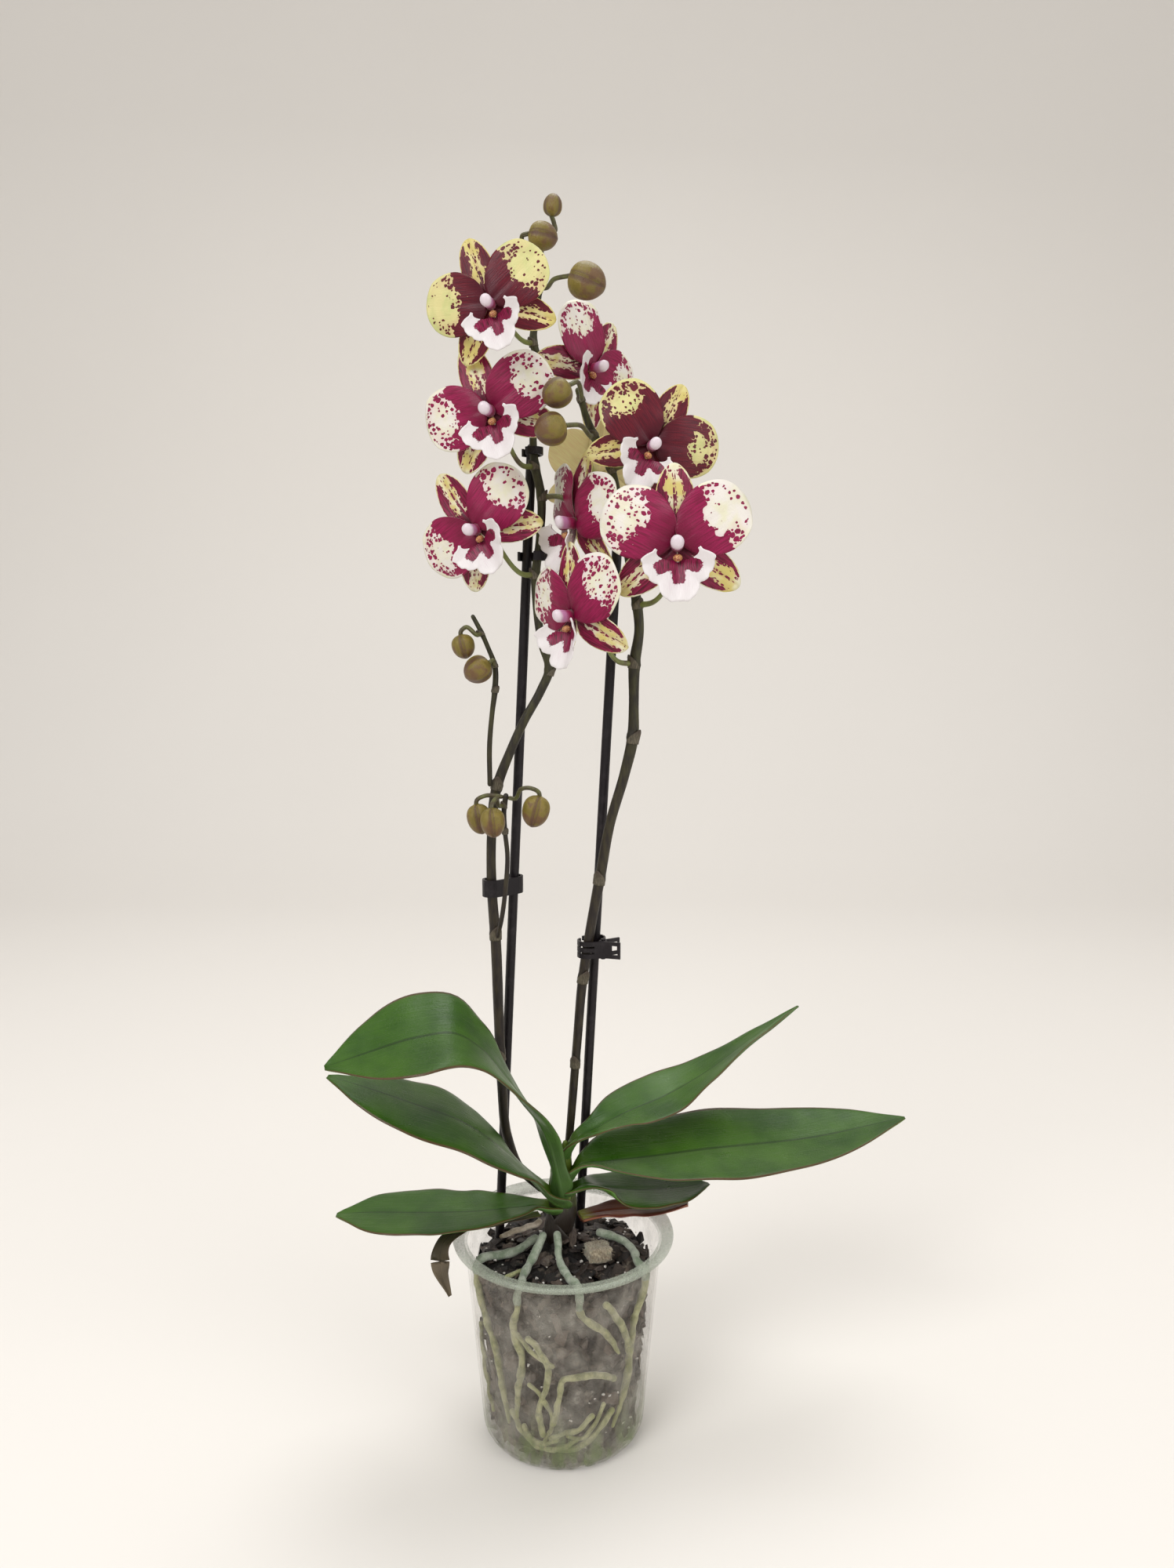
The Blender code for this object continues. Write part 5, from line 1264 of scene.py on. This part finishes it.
def add_tepal(shape, count, turn, size, draw, vigour, outline, flip=1.0):
    """One petal or sepal: a disc of points shaped by outline, turned round the flower's centre."""
    a, b = disc_grid(count)
    rho = np.clip(np.sqrt(a ** 2 + b ** 2), 0.0, 1.0)
    phase, seed = draw.uniform(0.0, 6.0), draw.uniform(0.0, 50.0)
    x, y, z, reach = outline(a, b, rho, phase)
    y = y * flip
    c, s = math.cos(math.radians(turn)), math.sin(math.radians(turn))
    points = np.stack([(x * c - y * s) * size, (x * s + y * c) * size, z * size], axis=2)
    thick = 0.00072 * (0.45 + 0.55 * np.clip((1 - rho) * 7.0, 0.0, 1.0)) * size
    normals = grid_normals(points)
    if normals[count // 2, count // 2, 2] < 0:
        normals = -normals
    grow = np.stack([a, b], axis=2)
    flat = [(px + seed, py + seed * 0.7, edge) for px, py, edge in
            zip(x.ravel(), (y * flip).ravel(), ((1.0 - rho) * reach).ravel())]
    shape.add_sheet(points, normals, thick, 0, grow, flat, 1.0 + vigour)


REFLEX = 0.22                # how steeply petals and sepals lean back from the column
REFLEX_FROM = 0.008          # how far out that starts
PETAL_GRID, SEPAL_GRID = 27, 21


def petal_outline(a, b, rho, phase):
    """A round petal on a short claw, slightly waved, with its edge bent back."""
    x = PETAL_OFFSET + PETAL_R * a - 0.003 * np.clip(-a, 0, 1) ** 3
    y = PETAL_R * b * (1 - 0.1 * np.clip(-a, 0, 1) ** 2)
    angle = np.arctan2(b, a)
    z = 0.0018 - REFLEX * np.clip(x - REFLEX_FROM, 0.0, None)
    z -= 0.001 * rho ** 2 + 0.0008 * np.exp(-(b / 0.1) ** 2) * (1 - np.clip(a, -1, 1)) / 2
    z += rho ** 4 * (0.0009 * np.sin(3 * angle + phase) + 0.0006 * np.sin(5 * angle + 2.1 * phase))
    z += 0.0006 * np.sin(2.4 * a + phase) * (1 - rho ** 2)
    return x, y, z, PETAL_R


def sepal_outline(a, b, rho, phase):
    """An oval sepal with a soft point, arched back towards its tip."""
    u = (a + 1) / 2
    x = 0.001 + (SEPAL_LENGTH - 0.001) * u
    y = SEPAL_HALF_WIDTH * b * (1 - 0.22 * np.clip(a, 0, 1) ** 2)
    z = -0.0014 - REFLEX * np.clip(x - REFLEX_FROM, 0.0, None) + 0.001 * b ** 2
    z += 0.0005 * rho ** 3 * np.sin(4 * a + phase)
    z -= 0.0006 * np.exp(-(b / 0.12) ** 2)
    return x, y, z, SEPAL_HALF_WIDTH


LIP_CENTRE = -0.0072         # the throat, below the flower's centre
LIP_START, LIP_END = 28.0, -208.0    # degrees round the throat; the gap is at the top


def add_lip(shape):
    """The lip: a spreading bowl round the throat, with two raised horns, side notches and a short
    middle lobe. Full-size metres in the flower's own axes."""
    rows, cols = 20, 81
    points, grow, flat = [], [], []
    for i in range(rows):
        reach = i / (rows - 1)
        row = []
        for j in range(cols):
            turn = math.radians(LIP_START + (LIP_END - LIP_START) * j / (cols - 1))
            side = abs(turn + math.pi / 2)
            opening = smooth_step(math.radians(72), math.radians(112), side)
            near = 0.0014 + 0.0086 * opening
            far = 0.0146 - 0.0008 * math.exp(-((side - math.radians(42)) / 0.15) ** 2)
            far += 0.0034 * math.exp(-(side / 0.52) ** 4) - 0.004 * smooth_step(1.6, 2.06, side)
            far += 0.001 * math.exp(-((side - math.radians(88)) / 0.3) ** 2)
            far += 0.00025 * math.sin(17.0 * turn) + 0.00015 * math.sin(31.0 * turn)
            r = near + (far - near) * reach
            rise = 0.01 * (r / 0.015) ** 1.3 * (1.0 - 0.3 * math.exp(-(side / 0.46) ** 2))
            rise += 0.0007 * reach ** 3 * math.sin(9.0 * turn + 0.8)
            row.append((r * math.cos(turn) * 1.02, LIP_CENTRE + r * math.sin(turn), 0.003 + rise))
            grow.append((reach, turn + math.pi / 2))
            flat.append((r * math.cos(turn), r * math.sin(turn), r))
        points.append(row)
    points = np.array(points)
    normals = grid_normals(points)
    if normals[rows // 2, cols // 2, 2] < 0:
        normals = -normals
    edge = np.clip((1.0 - np.linspace(0.0, 1.0, rows)) * 8.0, 0.0, 1.0)
    thick = 0.0009 * (0.45 + 0.55 * edge)[:, None] * np.ones((rows, cols))
    shape.add_sheet(points, normals, thick, 0, grow, flat)


# How densely each flower in turn is spotted, from 0 to 1.
SPOT_VIGOUR = [0.15, 0.5, 0.5, 1.0, 0.55, 0.5, 0.1, 0.5, 0.6]


def build_flowers(petal_looks, sepal_looks, lip, column, callus, stalk):
    for number, (name, given_flower) in enumerate(FLOWERS.items()):
        centre, azimuth, elevation, roll, size, node, yellow = given_flower
        draw = np.random.default_rng(FLOWER_SEED + number)
        matrix = flower_frame(centre, azimuth, elevation, roll)
        petals = Shape()
        rise = OWN_RISE.get(name, PETAL_RISE)
        for turn, flip in ((rise, 1.0), (180 - rise, -1.0)):
            add_tepal(petals, PETAL_GRID, turn, size, draw, SPOT_VIGOUR[number], petal_outline,
                      flip)
        petals.move(matrix)
        petals.finish(name + "_petals", [petal_looks[yellow]], [name])
        sepals = Shape()
        for turn in (90, -LATERAL_SEPAL_DROP, 180 + LATERAL_SEPAL_DROP):
            add_tepal(sepals, SEPAL_GRID, turn, size, draw, SPOT_VIGOUR[number], sepal_outline)
        sepals.move(matrix)
        sepals.finish(name + "_sepals", [sepal_looks[yellow]])

        middle = Shape()
        shares = [(0.001, 0.003), (0.0035, 0.0027), (0.0058, 0.0029), (0.0078, 0.003),
                  (0.0094, 0.003),
                  (0.0106, 0.0024), (0.0112, 0.0014), (0.0114, 0.0004)]
        rings = [[(r * math.cos(t), 0.0003 * (k - 3) + r * 1.06 * math.sin(t), z)
                  for t in turns(20)]
                 for k, (z, r) in enumerate(shares)]
        middle.add_rings(rings, 0)
        inverse = matrix.inverted()
        behind = -0.0022
        start = [(0.0, 0.0, 0.0004), (0.0, 0.0, behind), (0.0, 0.0, behind - 0.0065 / size)]
        end = [inverse @ Vector(stem_exit(*node, STALK_RUN)),
               inverse @ Vector(stem_exit(*node, STALK_GAP))]
        rows = [(*p, r) for p, r in zip([*start, *[tuple(e / size) for e in end]],
                                        (0.002, 0.0019, 0.0016, 0.0014, 0.0015))]
        middle.add_tube(rows, 44, 14, 2)
        middle.move(Matrix.Scale(size, 4))
        middle.move(matrix)
        middle.finish(name + "_column", [column, callus, stalk])

        labellum = Shape()
        add_lip(labellum)
        knob = [[(r * math.cos(t) * 1.25, -0.0066 + r * math.sin(t), 0.0044 + h)
                 for t in turns(14)]
                for h, r in ((0.0, 0.0016), (0.0012, 0.0017), (0.0024, 0.0014), (0.0031, 0.0008),
                             (0.0033, 0.0002))]
        labellum.add_rings(knob, 1)
        labellum.move(Matrix.Scale(size, 4))
        labellum.move(matrix)
        labellum.finish(name + "_labellum", [lip, callus], [name + "_lip"])


# ---- Buds ---------------------------------------------------------------------------------

def build_buds(look):
    for name, (node, pedicel, base, tip, radius) in BUDS.items():
        base, tip = np.array(base), np.array(tip)
        stalk = PEDICEL_R * 0.8
        points = [tuple(stem_exit(*node, STALK_GAP)), tuple(stem_exit(*node, STALK_RUN * 0.8)),
                  *pedicel, tuple(base)]
        bud = Shape()
        path = smooth_rows([(*p, stalk) for p in points], 30)
        bud.add_tube(path, 30, 12, 0, 0.0)
        shares = np.linspace(0.0, 1.0, 22)
        widths = [max((1.0 - abs(2.0 * s ** 0.84 - 1.0) ** 2.2) ** 0.56, 0.08) for s in shares]
        widths[0] = stalk / radius
        centres = [base + (tip - base) * s for s in shares]
        rings = tube_rings(centres, [radius * w for w in widths], 36, any_side(tip - base), 3, 0.09)
        bud.add_rings(rings, 0, 1.0)
        bud.finish(name + "_body", [look], [name])


# ---- Clips --------------------------------------------------------------------------------

CLIP_NODES = ["twin_ring_clip", "upper_left_clip", "middle_left_clip", "upper_right_clip",
              "claw_clip_front_jaw", "claw_clip_back_jaw", "claw_clip_pin"]


# ---- Stage --------------------------------------------------------------------------------

def floor_look():
    look = Look("pale_floor", roughness=0.75)
    shade = look.noise(look.place(), 1.2, 2.0)
    return look.set(Base_Color=look.mix(shade, (0.74, 0.71, 0.67), (0.78, 0.75, 0.71)))


FLOOR_FRONT, FLOOR_BACK, FLOOR_SIDE = 7.0, 1.2, 8.0
COVE_R, BACKDROP_TOP = 0.8, 4.0
LIGHTS_AIM = Vector((0.03, 0.0, 0.33))
CAMERA_PLACE, CAMERA_PITCH, CAMERA_LENS = (0.013, -0.601, 0.443), 82.0, 27.0


def build_stage():
    """A floor that curves up into a backdrop, three soft lights and the camera."""
    profile = [(-FLOOR_FRONT, 0.0), (FLOOR_BACK, 0.0)]
    profile += [(FLOOR_BACK + COVE_R * math.sin(t), COVE_R - COVE_R * math.cos(t))
                for t in np.radians(np.arange(10, 91, 10))]
    profile.append((FLOOR_BACK + COVE_R, BACKDROP_TOP))
    verts = [(x, y, z) for y, z in profile for x in (-FLOOR_SIDE, FLOOR_SIDE)]
    faces = [(2 * k, 2 * k + 1, 2 * k + 3, 2 * k + 2) for k in range(len(profile) - 1)]
    mesh = bpy.data.meshes.new("floor")
    mesh.from_pydata(verts, [], faces)
    mesh.shade_smooth()
    mesh.materials.append(floor_look())
    floor = bpy.data.objects.new("floor", mesh)
    bpy.context.scene.collection.objects.link(floor)

    for name, place, size, power in (("key", (-0.9, -1.3, 1.6), 1.1, 23.0),
                                     ("fill", (1.5, -1.1, 0.9), 1.4, 12.0),
                                     ("top", (0.1, 0.5, 1.9), 1.2, 14.0)):
        data = bpy.data.lights.new(name, "AREA")
        data.shape, data.size, data.energy = "DISK", size, power
        light = bpy.data.objects.new(name, data)
        light.location = place
        light.visible_camera = False
        aim = LIGHTS_AIM - light.location
        light.rotation_euler = aim.to_track_quat("-Z", "Y").to_euler()
        bpy.context.scene.collection.objects.link(light)

    world = bpy.data.worlds.new("studio")
    world.use_nodes = True
    sky = world.node_tree.nodes["Background"]
    sky.inputs["Color"].default_value = (1.0, 0.975, 0.945, 1.0)
    sky.inputs["Strength"].default_value = 0.6
    bpy.context.scene.world = world
    bpy.context.scene.view_settings.view_transform = "Standard"

    camera = bpy.data.cameras.new("camera")
    camera.lens = CAMERA_LENS
    camera.clip_start = 0.01
    view = bpy.data.objects.new("camera", camera)
    view.location = CAMERA_PLACE
    view.rotation_euler = (math.radians(CAMERA_PITCH), 0.0, 0.0)
    bpy.context.scene.collection.objects.link(view)
    bpy.context.scene.camera = view


dark_bark = bark_look("bark_dark", (0.01, 0.008, 0.007), (0.045, 0.034, 0.03))
brown_bark = bark_look("bark_brown", (0.026, 0.018, 0.014), (0.105, 0.076, 0.06))
build_pot(pot_look())
build_bark(dark_bark, brown_bark, speck_look())
build_plug(fibre_look())
build_roots(root_look("root_silver", (0.19, 0.24, 0.16), (0.38, 0.42, 0.33), (0.2, 0.26, 0.08)),
            root_look("root_green", (0.2, 0.21, 0.085), (0.4, 0.4, 0.2), (0.26, 0.28, 0.09)),
            root_look("root_dry", (0.42, 0.34, 0.25), (0.66, 0.58, 0.47), (0.28, 0.2, 0.11)))
build_crown(crown_look())
build_leaves(leaf_look("leaf_green", (0.015, 0.055, 0.003), (0.04, 0.108, 0.006),
                       (0.09, 0.028, 0.02), 0.34),
             leaf_look("leaf_red", (0.085, 0.018, 0.012), (0.19, 0.06, 0.025), (0.07, 0.012, 0.014),
                       0.42),
             leaf_look("leaf_dry", (0.026, 0.022, 0.01), (0.07, 0.05, 0.025), (0.05, 0.02, 0.012),
                       0.65))
black = black_look()
build_stems(stem_look(), bract_look(), black)
crimson = (CRIMSON, DARK_CRIMSON, (0.5, 0.22, 0.16))
magenta = (MAGENTA, DARK_MAGENTA, (0.62, 0.34, 0.46))
build_flowers({True: tepal_look("petal_yellow_face", (YELLOW_GROUND, GREEN_GROUND), crimson,
                                PALE_BACK, False),
               False: tepal_look("petal_white_face", (WHITE_GROUND, CREAM_GROUND), magenta,
                                 CREAM_BACK, False)},
              {True: tepal_look("sepal_dark_face", (SEPAL_GROUND, YELLOW_GROUND), crimson,
                                PALE_BACK, True),
               False: tepal_look("sepal_pale_face", (SEPAL_GROUND, CREAM_GROUND),
                                 ((0.22, 0.004, 0.045), DARK_CRIMSON, (0.5, 0.22, 0.18)), PALE_BACK,
                                 True)},
              lip_look(), column_look(), callus_look(), stalk_look())
build_buds(bud_look())
for node in CLIP_NODES:
    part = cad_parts[node]
    part.data.materials.clear()
    part.data.materials.append(black)
build_stage()
